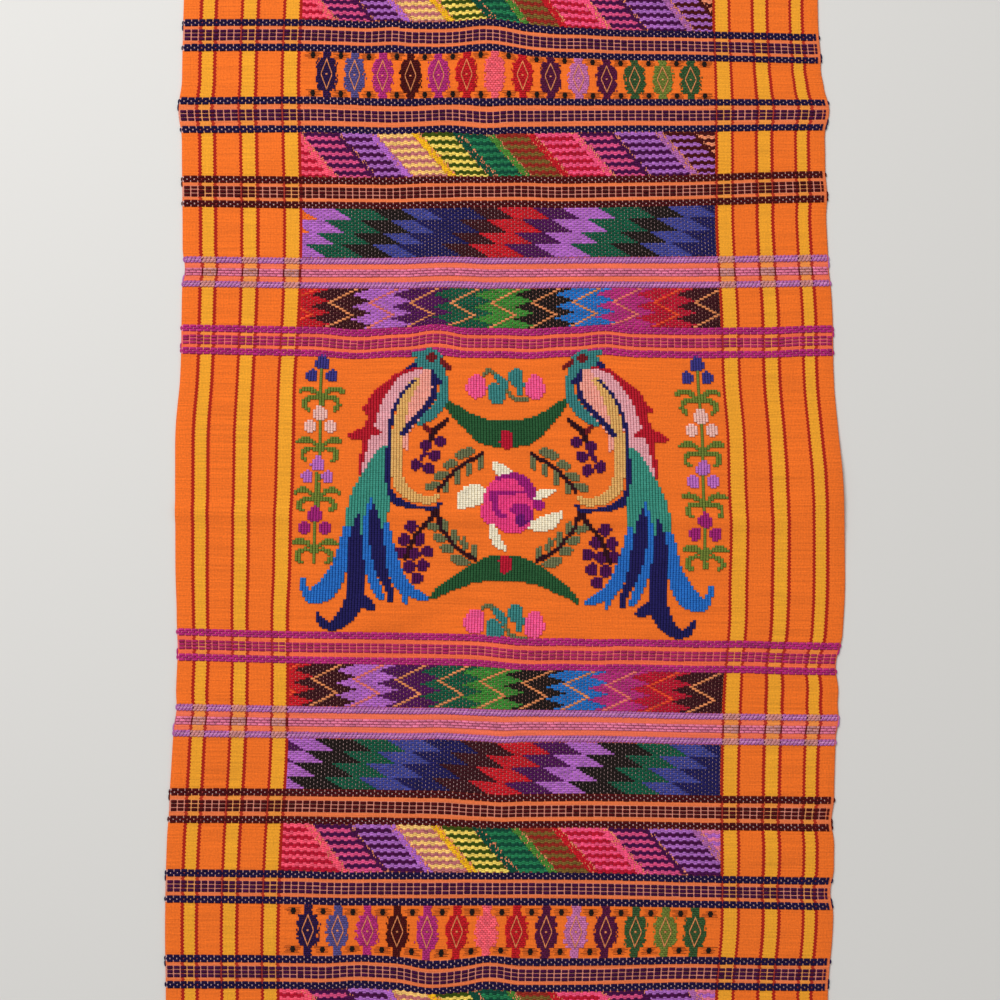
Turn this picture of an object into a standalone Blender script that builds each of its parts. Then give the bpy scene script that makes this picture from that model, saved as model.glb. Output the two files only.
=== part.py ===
"""Woven table runner: one cotton sheet lying flat, with weft ribs across it, a brocaded middle panel,
soft swells where it stands off the table, two fold creases and a turned hem at each end."""

import math

import bmesh
import bpy

# Driving sizes, in metres
LENGTH = 1.000
CLOTH_THICK = 0.0015
SELVEDGE_THICK = 0.0009
SELVEDGE_WIDTH = 0.0025
HEM_DEPTH = 0.010
HEM_RISE = 0.0011
HEM_SLOPE = 0.002

# Weft ribs: two thick lines of heavy yarn with three thin ones between them
RIB_RISE = 0.0008
RIB_REACH = 0.0032
RIB_MIDDLE_RISE = 0.0004

# The brocaded bands of the panel lie between these distances from the runner's middle
BROCADE_RISE = 0.0004
BROCADE_START = 0.107
BROCADE_END = 0.338

# Fold creases left by storage, and the longest step between rows of the sheet
CREASE_ALONG = -0.014
CREASE_RISE = 0.0016
CREASE_REACH = 0.010
SPINE_ACROSS = -0.001
SPINE_RISE = 0.0006
SPINE_REACH = 0.012
ROW_STEP = 0.016
UNDERSIDE_STEP = 0.018

COLOURS = {"cloth": (0.86, 0.17, 0.02, 1.0)}
ROUGHNESS = 0.88
MM = 0.001

# The flat cloth, across: selvedge, panel edge, panel edge, selvedge, in millimetres
FLAT_ACROSS = (-210.5, -137.0, 138.0, 209.2)

# Where those four lines lie on the table, in millimetres
EDGE_COLUMNS = ("along", "left", "panel_left", "panel_right", "right")
EDGES = (
    (500.0, -208.0, -133.0, 136.0, 205.0),
    (400.0, -209.0, -133.5, 135.5, 204.0),
    (316.0, -210.5, -134.0, 134.5, 202.5),
    (274.0, -211.0, -135.5, 135.5, 205.5),
    (221.0, -210.5, -134.0, 135.5, 206.0),
    (171.0, -209.5, -133.0, 135.5, 206.5),
    (120.0, -209.5, -134.0, 138.0, 209.5),
    (75.0, -210.0, -136.5, 139.0, 210.0),
    (42.0, -212.5, -137.0, 141.5, 212.5),
    (10.0, -212.5, -137.5, 142.0, 215.0),
    (-22.0, -212.0, -138.5, 143.0, 215.5),
    (-54.0, -211.5, -139.0, 142.0, 215.5),
    (-79.0, -210.5, -140.0, 141.5, 214.0),
    (-120.0, -210.0, -139.5, 138.0, 210.5),
    (-171.0, -212.5, -140.0, 136.0, 207.5),
    (-223.0, -215.0, -143.0, 135.5, 206.5),
    (-274.0, -215.5, -144.5, 135.0, 205.0),
    (-314.0, -214.5, -144.0, 131.5, 201.5),
    (-400.0, -213.0, -141.0, 132.5, 202.5),
    (-500.0, -211.0, -138.0, 134.0, 204.5),
)

# Each rib band: its middle, from the middle to a thick line, and how far it runs up or down the table
# at seven places across the cloth, in millimetres
SAG_ACROSS = (-205.0, -131.0, -68.0, -4.0, 58.0, 121.0, 199.0)
RIB_COLUMNS = ("along", "half") + tuple(f"sag_{index}" for index in range(len(SAG_ACROSS)))
RIBS = (
    (345.0, 8.0, 2.5, 2.5, 1.5, 2.0, -1.5, -3.0, -4.5),
    (297.0, 8.0, 3.5, 3.5, 1.5, 4.0, -2.5, -4.0, -6.0),
    (247.5, 9.0, 0.0, 0.5, -1.0, -0.5, 0.0, 0.5, 0.5),
    (198.0, 8.0, 0.0, -1.0, -1.5, -1.0, -0.5, 1.0, 3.0),
    (145.0, 8.0, 0.5, -0.5, -0.5, -0.5, 0.0, 0.0, 1.0),
    (100.0, 7.5, 1.5, 0.0, -0.5, -1.0, 0.0, -1.0, 0.5),
    (-100.0, 8.0, 5.0, 3.0, 2.0, 0.5, -2.0, -3.5, -5.0),
    (-146.5, 8.0, 3.5, 2.0, 1.0, -0.5, -1.0, -2.5, -3.5),
    (-199.5, 8.5, 3.0, 2.5, 1.5, -1.0, -1.0, -2.0, -3.0),
    (-249.0, 8.0, 2.5, 1.5, 0.5, 0.5, 0.0, -1.5, -3.0),
    (-301.0, 8.0, 1.5, 1.0, -0.5, -1.0, -1.0, 0.5, -0.5),
    (-349.0, 8.0, 1.0, 0.5, 0.0, -0.5, -0.5, 0.5, 0.0),
)

# Soft swells that stand off the table: middle, half lengths, turn in degrees and height
SWELL_COLUMNS = ("across", "along", "half_across", "half_along", "turn", "rise")
SWELLS = (
    (36.0, 12.0, 34.0, 26.0, 20.0, 2.2),
    (88.0, -34.0, 38.0, 24.0, -15.0, 2.4),
    (196.0, 6.0, 34.0, 58.0, 0.0, 2.6),
    (-70.0, -72.0, 62.0, 22.0, 24.0, 1.8),
    (-188.0, -150.0, 32.0, 52.0, 8.0, 1.8),
    (-150.0, 222.0, 60.0, 20.0, 5.0, 1.6),
    (120.0, 224.0, 66.0, 22.0, -8.0, 1.8),
    (150.0, -225.0, 58.0, 20.0, 6.0, 1.6),
    (-60.0, 272.0, 70.0, 18.0, 3.0, 1.4),
    (-120.0, 60.0, 30.0, 30.0, 0.0, 1.2),
    (60.0, -420.0, 80.0, 34.0, 10.0, 1.8),
    (-90.0, 425.0, 76.0, 36.0, -8.0, 1.8),
)

# Columns of the sheet across the flat cloth, in millimetres
COLUMNS = (-210.5, -208.0, -193.0, -174.0, -155.0, -139.0, -135.0, -108.0, -81.0, -54.0, -27.0, -1.0,
           27.0, 54.0, 81.0, 108.0, 136.0, 140.0, 156.0, 174.0, 192.0, 206.7, 209.2)


def clear_objects():
    """Remove whatever the file already holds."""
    for found in list(bpy.data.objects):
        bpy.data.objects.remove(found, do_unlink=True)


def fabric(name):
    """Matt cotton in the colour of the ground."""
    material = bpy.data.materials.new(name)
    material.use_nodes = True
    shader = material.node_tree.nodes["Principled BSDF"]
    shader.inputs["Base Color"].default_value = COLOURS[name]
    shader.inputs["Roughness"].default_value = ROUGHNESS
    shader.inputs["Metallic"].default_value = 0.0
    material.diffuse_color = COLOURS[name]
    return material


def smooth(places, values, place):
    """A smooth curve through values at rising places, held level past both ends."""
    if place <= places[0]:
        return values[0]
    if place >= places[-1]:
        return values[-1]
    last = len(places) - 1
    start = max(index for index in range(last) if places[index] <= place)
    span = places[start + 1] - places[start]
    share = (place - places[start]) / span

    def slope(index):
        """The curve's slope at one of its places."""
        before, after = max(index - 1, 0), min(index + 1, last)
        return (values[after] - values[before]) / (places[after] - places[before])

    rise = values[start + 1] - values[start]
    first = slope(start) * span - rise
    second = rise - slope(start + 1) * span
    bend = share * (1.0 - share) * (first * (1.0 - share) + second * share)
    return values[start] + rise * share + bend


def column(table, names, wanted):
    """One named column of a table, its rows in rising order of their place along the cloth."""
    at = names.index(wanted)
    order = names.index("along")
    return [row[at] for row in sorted(table, key=lambda row: row[order])]


EDGE_PLACES = column(EDGES, EDGE_COLUMNS, "along")
EDGE_LINES = [column(EDGES, EDGE_COLUMNS, name) for name in EDGE_COLUMNS[1:]]
HEM_PLACE = LENGTH / 2.0 / MM
SAG_PLACES = [-HEM_PLACE] + column(RIBS, RIB_COLUMNS, "along") + [HEM_PLACE]
SAG_LINES = [[0.0] + column(RIBS, RIB_COLUMNS, name) + [0.0] for name in RIB_COLUMNS[2:]]


def sag(across, along):
    """How far the weft runs up or down the table there, from the rib bands on both sides."""
    return smooth(SAG_ACROSS, [smooth(SAG_PLACES, line, along) for line in SAG_LINES], across)


def lay(across, along):
    """Where a point of the flat cloth lies on the table, in millimetres."""
    lines = [smooth(EDGE_PLACES, line, along) for line in EDGE_LINES]
    zone = sum(across > line for line in FLAT_ACROSS[1:3])
    low, high = FLAT_ACROSS[zone], FLAT_ACROSS[zone + 1]
    share = (across - low) / (high - low)
    x = lines[zone] + (lines[zone + 1] - lines[zone]) * share
    return x, along + sag(across, along)


def bump(distance, reach):
    """A soft round rise from 1 in the middle to exactly 0 at its reach."""
    if abs(distance) >= reach:
        return 0.0
    return math.cos(math.pi / 2.0 * distance / reach) ** 2


def lift(across, along):
    """How far the whole sheet stands off the table, in metres."""
    height = CREASE_RISE * bump(along * MM - CREASE_ALONG, CREASE_REACH)
    height = max(height, SPINE_RISE * bump(across * MM - SPINE_ACROSS, SPINE_REACH))
    for row in SWELLS:
        swell = dict(zip(SWELL_COLUMNS, row))
        turn = math.radians(swell["turn"])
        dx, dy = across - swell["across"], along - swell["along"]
        u = (dx * math.cos(turn) + dy * math.sin(turn)) / swell["half_across"]
        v = (dy * math.cos(turn) - dx * math.sin(turn)) / swell["half_along"]
        height = max(height, swell["rise"] * MM * bump(math.hypot(u, v), 1.0))
    return height


def thickness(across, along):
    """The sheet's own thickness, in metres: ground, ribs, brocade, hems and thin selvedges."""
    place = along * MM
    rise = 0.0
    for row in RIBS:
        rib = dict(zip(RIB_COLUMNS, row))
        half = rib["half"] * MM
        away = abs(place - rib["along"] * MM)
        rise = max(rise, RIB_RISE * bump(away - half, RIB_REACH), RIB_MIDDLE_RISE * bump(away, half))
    in_panel = FLAT_ACROSS[1] < across < FLAT_ACROSS[2]
    if in_panel and BROCADE_START < abs(place) < BROCADE_END:
        rise = max(rise, BROCADE_RISE)
    into_hem = abs(place) - (LENGTH / 2.0 - HEM_DEPTH)
    if into_hem > 0.0:
        rise += HEM_RISE * min(1.0, into_hem / HEM_SLOPE)
    thick = CLOTH_THICK + rise
    to_selvedge = min(across - FLAT_ACROSS[0], FLAT_ACROSS[-1] - across) * MM
    if to_selvedge < SELVEDGE_WIDTH:
        thin = SELVEDGE_THICK / CLOTH_THICK
        thick *= thin + (1.0 - thin) * max(to_selvedge, 0.0) / SELVEDGE_WIDTH
    return thick


def rows_of_sheet():
    """The rows of the top face along the flat cloth: ribs, hems and creases get rows of their own."""
    hem_start = HEM_PLACE - HEM_DEPTH / MM
    reach = RIB_REACH / MM
    rows = [HEM_PLACE, hem_start + HEM_SLOPE / MM, hem_start]
    rows += [-row for row in rows]
    for row in RIBS:
        rib = dict(zip(RIB_COLUMNS, row))
        rows.append(rib["along"])
        for line in (rib["along"] - rib["half"], rib["along"] + rib["half"]):
            rows += [line - reach, line, line + reach]
    crease = CREASE_ALONG / MM
    rows += [crease - CREASE_REACH / MM, crease, crease + CREASE_REACH / MM]
    return fill_between(sorted(rows), ROW_STEP / MM)


def fill_between(places, step):
    """The same rising places with even ones added where two lie more than a step apart."""
    filled = [places[0]]
    for place in places[1:]:
        gap = place - filled[-1]
        count = max(1, math.ceil(gap / step))
        filled += [filled[-1] + gap * (index + 1) / count for index in range(count)]
    return filled


def rows_of_underside(rows):
    """Those of the rows that the plain underside keeps, about a step apart."""
    kept = [0]
    for index in range(1, len(rows) - 1):
        if rows[index + 1] - rows[kept[-1]] > UNDERSIDE_STEP / MM:
            kept.append(index)
    return kept + [len(rows) - 1]


def zip_chains(mesh, upper, lower, upper_places, lower_places):
    """Close the strip between two chains of points that start and end together."""
    up, low = 0, 0
    while up < len(upper) - 1 or low < len(lower) - 1:
        next_up = upper_places[up + 1] if up < len(upper) - 1 else math.inf
        next_low = lower_places[low + 1] if low < len(lower) - 1 else math.inf
        if next_up <= next_low:
            mesh.faces.new((upper[up], upper[up + 1], lower[low]))
            up += 1
        else:
            mesh.faces.new((upper[up], lower[low + 1], lower[low]))
            low += 1


def runner_mesh():
    """The runner as one closed sheet, standing on its bounding box's middle."""
    mesh = bmesh.new()
    rows = rows_of_sheet()
    kept = rows_of_underside(rows)
    places = [[lay(across, along) for across in COLUMNS] for along in rows]
    flat = [point for row in places for point in row]
    middle_x = (min(point[0] for point in flat) + max(point[0] for point in flat)) / 2.0
    middle_y = (min(point[1] for point in flat) + max(point[1] for point in flat)) / 2.0

    def vertex(row, place, top):
        """One point of the top or the underside."""
        x, y = places[row][place]
        across, along = COLUMNS[place], rows[row]
        z = lift(across, along) + (thickness(across, along) if top else 0.0)
        return mesh.verts.new(((x - middle_x) * MM, (y - middle_y) * MM, z))

    top = [[vertex(row, place, True) for place in range(len(COLUMNS))] for row in range(len(rows))]
    under = [[vertex(row, place, False) for place in range(len(COLUMNS))] for row in kept]
    add_sheet(mesh, top)
    add_sheet(mesh, under)
    kept_places = [rows[index] for index in kept]
    for side in (0, -1):
        zip_chains(mesh, [row[side] for row in top], [row[side] for row in under], rows, kept_places)
        zip_chains(mesh, top[side], under[side], COLUMNS, COLUMNS)
    bmesh.ops.triangulate(mesh, faces=mesh.faces[:])
    bmesh.ops.recalc_face_normals(mesh, faces=mesh.faces[:])
    return mesh


def add_sheet(mesh, grid):
    """Faces over a grid of points, a row at a time."""
    for row, following in zip(grid, grid[1:]):
        for place in range(len(row) - 1):
            mesh.faces.new((row[place], row[place + 1], following[place + 1], following[place]))


def build_runner():
    """The named object of the one cloth piece."""
    shape = runner_mesh()
    data = bpy.data.meshes.new("runner_cloth")
    shape.to_mesh(data)
    shape.free()
    data.materials.append(fabric("cloth"))
    data.shade_smooth()
    data.set_sharp_from_angle(angle=math.radians(40.0))
    runner = bpy.data.objects.new("runner_cloth", data)
    bpy.context.scene.collection.objects.link(runner)
    return runner


clear_objects()
build_runner()
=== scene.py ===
"""Woven table runner: its striped ground, its thick weft ribs and its brocade, yarn by yarn.

The cloth is drawn flat, in millimetres across and along from its middle, and every yarn is then laid
where the solid's sheet lies. Up in the photograph is the direction of growing along.
"""

import logging
import math
from dataclasses import dataclass, field, replace
from enum import Enum
from typing import Callable, Iterable, Sequence

import bpy
import numpy as np
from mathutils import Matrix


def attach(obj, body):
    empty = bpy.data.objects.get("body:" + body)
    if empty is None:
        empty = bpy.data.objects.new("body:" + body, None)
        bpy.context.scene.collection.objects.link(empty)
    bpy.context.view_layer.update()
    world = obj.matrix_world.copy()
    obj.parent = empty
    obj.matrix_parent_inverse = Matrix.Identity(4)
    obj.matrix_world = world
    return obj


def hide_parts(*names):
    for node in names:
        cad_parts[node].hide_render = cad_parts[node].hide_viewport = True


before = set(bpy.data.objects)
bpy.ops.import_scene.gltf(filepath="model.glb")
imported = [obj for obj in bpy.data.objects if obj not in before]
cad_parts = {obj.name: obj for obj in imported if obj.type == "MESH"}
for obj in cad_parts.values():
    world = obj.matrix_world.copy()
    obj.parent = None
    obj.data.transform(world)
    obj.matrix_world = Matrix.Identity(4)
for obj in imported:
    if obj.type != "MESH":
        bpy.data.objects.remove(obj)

LOG = logging.getLogger("runner")
MM = 0.001
NODE = "runner_cloth"
NO_YARN = -1
SEED = 20
Numbers = np.ndarray


class Yarn(Enum):
    """Every dyed yarn, as the sRGB colour it shows in daylight."""

    NAVY = (30, 25, 88)
    RIB_NAVY = (30, 14, 62)
    FIGURE_NAVY = (42, 18, 72)
    FIGURE_SLATE = (90, 82, 144)
    FIGURE_PINK = (190, 48, 128)
    PLUM_LINE = (66, 12, 58)
    BROWN_LINE = (78, 10, 16)
    ORCHID = (184, 108, 176)
    # Painted highlight: a paler orchid that stands in for light on the orchid rope's crown.
    ORCHID_HIGHLIGHT = (206, 140, 190)
    ORCHID_PINK = (232, 126, 160)
    ORCHID_TAN = (210, 144, 144)
    MAGENTA = (182, 42, 120)
    MAGENTA_LINE = (176, 40, 98)
    LILAC = (188, 110, 204)
    GREEN = (16, 90, 64)
    BLACK = (30, 20, 18)
    SLATE = (68, 72, 152)
    MAROON_BLACK = (62, 14, 24)
    RED = (204, 24, 38)
    PURPLE = (82, 16, 86)
    LEAF_GREEN = (66, 142, 54)
    BLUE = (34, 118, 200)
    CRIMSON = (192, 20, 50)
    PINK = (250, 88, 134)
    CORAL_PINK = (255, 92, 120)
    DARK_PURPLE = (76, 8, 72)
    PALE_YELLOW = (252, 222, 104)
    PALE_PEACH = (255, 208, 122)
    YELLOW = (250, 192, 30)
    MAUVE = (198, 116, 118)
    DARK_OLIVE = (64, 82, 10)
    PINE = (12, 78, 58)
    LIME = (80, 138, 52)
    OLIVE = (128, 98, 42)
    BRICK = (156, 42, 30)
    TAN = (232, 146, 92)
    TEAL = (60, 134, 132)
    TEAL_GREEN = (62, 148, 130)
    WING_PINK = (248, 168, 152)
    GOLD = (230, 178, 104)
    FEATHER_RED = (188, 22, 42)
    EYE_RED = (120, 24, 30)
    PLUME_BLUE = (38, 112, 198)
    LEAF_DARK = (38, 88, 50)
    CREAM = (250, 238, 210)
    ROSE = (242, 66, 136)
    ROSE_SHADE = (166, 28, 124)
    ROSE_HEART = (116, 20, 112)
    GRAPE = (80, 12, 78)
    BRANCH = (50, 8, 24)
    LEAFLET = (112, 116, 80)
    STEM = (112, 128, 50)
    BUD_NAVY = (60, 54, 132)
    BUD_PALE = (246, 194, 184)
    BUD_LILAC = (194, 112, 196)
    BUD_MAGENTA = (166, 34, 120)
    BUD_PINK = (250, 92, 152)
    GROUND = (247, 116, 36)
    STITCH = (244, 138, 62)
    THREAD_BROWN = (166, 78, 30)
    FIGURE_CORAL = (255, 104, 120)
    FIGURE_LILAC = (208, 122, 180)
    FIGURE_PLUM = (88, 18, 64)
    FIGURE_GREEN = (56, 92, 52)
    FIGURE_LIME = (120, 134, 56)
    FERN = (36, 128, 82)
    WING_ROSE = (236, 170, 178)
    SALMON = (238, 126, 110)
    CORAL_LINE = (242, 84, 46)
    FLECK = (244, 150, 108)
    WAVE_PINK = (226, 84, 138)
    WAVE_LILAC = (180, 110, 196)


YARNS = list(Yarn)
YARN_NUMBER = {yarn: number for number, yarn in enumerate(YARNS)}


def linear(colour: Sequence[float]) -> tuple[float, float, float]:
    """The linear colour of an sRGB one.

    Args:
        colour: Red, green and blue from 0 to 255.

    Returns:
        The same colour as shaders take it, each from 0 to 1.
    """
    shares = [value / 255.0 for value in colour[:3]]
    return tuple(s / 12.92 if s <= 0.04045 else ((s + 0.055) / 1.055) ** 2.4 for s in shares)


YARN_LINEAR = np.array([linear(yarn.value) for yarn in YARNS])


def smooth(places: Numbers, values: Numbers, at: Numbers) -> Numbers:
    """A smooth curve through values at rising places, level past both ends.

    Args:
        places: The rising places.
        values: A value for each place, or a row of values for each, one for every point of at.
        at: Where the curve is read.

    Returns:
        The curve's value at every point of at.
    """
    last = len(places) - 1
    table = np.broadcast_to(values if values.ndim == 2 else values[:, None], (last + 1, at.size))
    spot = np.clip(at.ravel(), places[0], places[-1])
    start = np.clip(np.searchsorted(places, spot, side="right") - 1, 0, last - 1)
    point = np.arange(at.size)

    def slope(index: Numbers) -> Numbers:
        """The curve's slope at one of its places."""
        before, after = np.maximum(index - 1, 0), np.minimum(index + 1, last)
        return (table[after, point] - table[before, point]) / (places[after] - places[before])

    span = places[start + 1] - places[start]
    share = (spot - places[start]) / span
    rise = table[start + 1, point] - table[start, point]
    first = slope(start) * span - rise
    second = rise - slope(start + 1) * span
    bend = share * (1.0 - share) * (first * (1.0 - share) + second * share)
    return (table[start, point] + rise * share + bend).reshape(at.shape)


def bump(distance: Numbers) -> Numbers:
    """A soft round rise, 1 in the middle and 0 from a distance of 1 on."""
    return np.where(np.abs(distance) < 1.0, np.cos(np.pi / 2.0 * distance) ** 2, 0.0)


@dataclass(frozen=True)
class Ridge:
    """A soft swell or wrinkle that stands off the table, in millimetres and degrees."""

    across: float
    along: float
    half_across: float
    half_along: float
    turn: float
    rise: float

    def height(self, across: Numbers, along: Numbers) -> Numbers:
        """The ridge's height, in millimetres, at points of the flat cloth."""
        turn = math.radians(self.turn)
        dx, dy = across - self.across, along - self.along
        u = (dx * math.cos(turn) + dy * math.sin(turn)) / self.half_across
        v = (dy * math.cos(turn) - dx * math.sin(turn)) / self.half_along
        return self.rise * bump(np.hypot(u, v))


@dataclass(frozen=True)
class RibPlace:
    """One rib band of the solid: its middle, its half height and its sag at seven places across."""

    along: float
    half: float
    sags: tuple[float, ...]


@dataclass(frozen=True)
class LaidCloth:
    """How the flat cloth lies on the table, with the same sizes as the solid's sheet."""

    length: float = 1000.0
    flat_across: tuple[float, ...] = (-210.5, -137.0, 138.0, 209.2)
    edge_rows: tuple[tuple[float, ...], ...] = (
        (-500.0, -211.0, -138.0, 134.0, 204.5), (-400.0, -213.0, -141.0, 132.5, 202.5),
        (-314.0, -214.5, -144.0, 131.5, 201.5), (-274.0, -215.5, -144.5, 135.0, 205.0),
        (-223.0, -215.0, -143.0, 135.5, 206.5), (-171.0, -212.5, -140.0, 136.0, 207.5),
        (-120.0, -210.0, -139.5, 138.0, 210.5), (-79.0, -210.5, -140.0, 141.5, 214.0),
        (-54.0, -211.5, -139.0, 142.0, 215.5), (-22.0, -212.0, -138.5, 143.0, 215.5),
        (10.0, -212.5, -137.5, 142.0, 215.0), (42.0, -212.5, -137.0, 141.5, 212.5),
        (75.0, -210.0, -136.5, 139.0, 210.0), (120.0, -209.5, -134.0, 138.0, 209.5),
        (171.0, -209.5, -133.0, 135.5, 206.5), (221.0, -210.5, -134.0, 135.5, 206.0),
        (274.0, -211.0, -135.5, 135.5, 205.5), (316.0, -210.5, -134.0, 134.5, 202.5),
        (400.0, -209.0, -133.5, 135.5, 204.0), (500.0, -208.0, -133.0, 136.0, 205.0),
    )
    sag_across: tuple[float, ...] = (-205.0, -131.0, -68.0, -4.0, 58.0, 121.0, 199.0)
    ribs: tuple[RibPlace, ...] = (
        RibPlace(-349.0, 8.0, (1.0, 0.5, 0.0, -0.5, -0.5, 0.5, 0.0)),
        RibPlace(-301.0, 8.0, (1.5, 1.0, -0.5, -1.0, -1.0, 0.5, -0.5)),
        RibPlace(-249.0, 8.0, (2.5, 1.5, 0.5, 0.5, 0.0, -1.5, -3.0)),
        RibPlace(-199.5, 8.5, (3.0, 2.5, 1.5, -1.0, -1.0, -2.0, -3.0)),
        RibPlace(-146.5, 8.0, (3.5, 2.0, 1.0, -0.5, -1.0, -2.5, -3.5)),
        RibPlace(-100.0, 8.0, (5.0, 3.0, 2.0, 0.5, -2.0, -3.5, -5.0)),
        RibPlace(100.0, 7.5, (1.5, 0.0, -0.5, -1.0, 0.0, -1.0, 0.5)),
        RibPlace(145.0, 8.0, (0.5, -0.5, -0.5, -0.5, 0.0, 0.0, 1.0)),
        RibPlace(198.0, 8.0, (0.0, -1.0, -1.5, -1.0, -0.5, 1.0, 3.0)),
        RibPlace(247.5, 9.0, (0.0, 0.5, -1.0, -0.5, 0.0, 0.5, 0.5)),
        RibPlace(297.0, 8.0, (3.5, 3.5, 1.5, 4.0, -2.5, -4.0, -6.0)),
        RibPlace(345.0, 8.0, (2.5, 2.5, 1.5, 2.0, -1.5, -3.0, -4.5)),
    )
    swells: tuple[Ridge, ...] = (
        Ridge(36.0, 12.0, 34.0, 26.0, 20.0, 2.2), Ridge(88.0, -34.0, 38.0, 24.0, -15.0, 2.4),
        Ridge(196.0, 6.0, 34.0, 58.0, 0.0, 2.6), Ridge(-70.0, -72.0, 62.0, 22.0, 24.0, 1.8),
        Ridge(-188.0, -150.0, 32.0, 52.0, 8.0, 1.8), Ridge(-150.0, 222.0, 60.0, 20.0, 5.0, 1.6),
        Ridge(120.0, 224.0, 66.0, 22.0, -8.0, 1.8), Ridge(150.0, -225.0, 58.0, 20.0, 6.0, 1.6),
        Ridge(-60.0, 272.0, 70.0, 18.0, 3.0, 1.4), Ridge(-120.0, 60.0, 30.0, 30.0, 0.0, 1.2),
        Ridge(60.0, -420.0, 80.0, 34.0, 10.0, 1.8), Ridge(-90.0, 425.0, 76.0, 36.0, -8.0, 1.8),
    )
    wrinkles: tuple[Ridge, ...] = (
        Ridge(-62.0, -80.0, 30.0, 4.5, 27.0, 1.0), Ridge(-84.0, -86.0, 24.0, 4.0, 24.0, 0.8),
        Ridge(-40.0, -70.0, 22.0, 4.0, 30.0, 0.6), Ridge(62.0, -14.0, 5.0, 26.0, -12.0, 0.7),
        Ridge(36.0, -4.0, 4.5, 20.0, 14.0, 0.6), Ridge(92.0, 46.0, 26.0, 5.0, -24.0, 0.6),
        Ridge(104.0, 8.0, 40.0, 4.0, 2.0, 0.8), Ridge(-166.0, 40.0, 34.0, 6.0, 12.0, 0.7),
        Ridge(176.0, -60.0, 30.0, 6.0, -16.0, 0.7), Ridge(150.0, 165.0, 26.0, 5.0, 8.0, 0.5),
        Ridge(-172.0, 170.0, 28.0, 5.0, -6.0, 0.6), Ridge(-150.0, -300.0, 40.0, 5.0, 5.0, 0.6),
        Ridge(172.0, 20.0, 62.0, 12.0, 0.0, 0.9), Ridge(172.0, -2.0, 62.0, 8.0, 0.0, 0.7),
    )
    ripples: tuple[Ridge, ...] = (
        Ridge(0.0, 165.0, 900.0, 250.0, 0.0, -0.8), Ridge(200.0, -150.0, 700.0, 215.0, 0.0, 1.2),
        Ridge(-44.0, 345.0, 26.0, 34.0, 0.0, 1.0), Ridge(-76.0, 297.0, 18.0, 26.0, 0.0, 1.4),
        Ridge(-36.0, 297.0, 26.0, 26.0, 0.0, -1.3), Ridge(17.0, 297.0, 36.0, 28.0, 0.0, -3.0),
        Ridge(-50.0, 222.0, 34.0, 56.0, 0.0, 1.3), Ridge(-10.0, 247.0, 16.0, 24.0, 0.0, -0.8),
        Ridge(120.0, 222.0, 60.0, 56.0, 0.0, -0.8), Ridge(-40.0, 148.0, 32.0, 30.0, 0.0, 1.1),
        Ridge(-98.0, 100.0, 30.0, 26.0, 0.0, -2.0), Ridge(-47.0, 102.0, 22.0, 24.0, 0.0, 3.0),
        Ridge(14.0, 100.0, 22.0, 26.0, 0.0, -1.0), Ridge(62.0, 100.0, 20.0, 26.0, 0.0, 1.7),
        Ridge(168.0, 100.0, 26.0, 26.0, 0.0, -0.6), Ridge(14.0, -100.0, 40.0, 26.0, 0.0, -2.3),
        Ridge(150.0, -100.0, 36.0, 26.0, 0.0, 0.5), Ridge(-38.0, -172.0, 30.0, 58.0, 0.0, 1.0),
        Ridge(0.0, -172.0, 14.0, 50.0, 0.0, -0.9), Ridge(-100.0, -230.0, 30.0, 46.0, 0.0, -0.6),
        Ridge(-84.0, -301.0, 30.0, 30.0, 0.0, 2.0), Ridge(-40.0, -301.0, 22.0, 28.0, 0.0, -2.4),
        Ridge(-4.0, -301.0, 20.0, 28.0, 0.0, 2.4), Ridge(6.0, 198.0, 30.0, 30.0, 0.0, 0.9),
        Ridge(160.0, -301.0, 80.0, 30.0, 0.0, -0.5), Ridge(-24.0, -301.0, 16.0, 26.0, 0.0, -0.6),
        Ridge(-63.0, -301.0, 16.0, 26.0, 0.0, 0.7), Ridge(52.0, -100.0, 24.0, 26.0, 0.0, -1.0),
        Ridge(-24.0, 198.0, 24.0, 26.0, 0.0, 1.0), Ridge(-37.0, 247.0, 22.0, 24.0, 0.0, 0.9),
        Ridge(40.0, 297.0, 20.0, 24.0, 0.0, -0.6),
    )
    pulls: tuple[tuple[float, float, float, float], ...] = (
        (281.0, 12.0, 0.0, -1.2), (251.0, 19.0, -2.3, 3.2), (193.0, 16.0, 0.0, 1.0), (147.0, 14.0, 1.7, -0.4),
        (-103.0, 19.0, 0.4, -2.9), (-140.0, 12.0, 1.0, 1.2), (-204.0, 15.0, 0.3, -1.7), (-248.0, 15.0, 0.0, -2.2),
    )
    crease_along: float = -14.0
    crease_rise: float = 1.6
    crease_reach: float = 10.0
    spine_across: float = -1.0
    spine_rise: float = 0.6
    spine_reach: float = 12.0
    ground_thick: float = 1.3
    selvedge_thick: float = 0.8
    selvedge_width: float = 2.5
    hem_depth: float = 10.0
    hem_rise: float = 1.1
    hem_slope: float = 2.0

    @property
    def hem_place(self) -> float:
        """From the middle of the cloth to its end."""
        return self.length / 2.0

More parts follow.
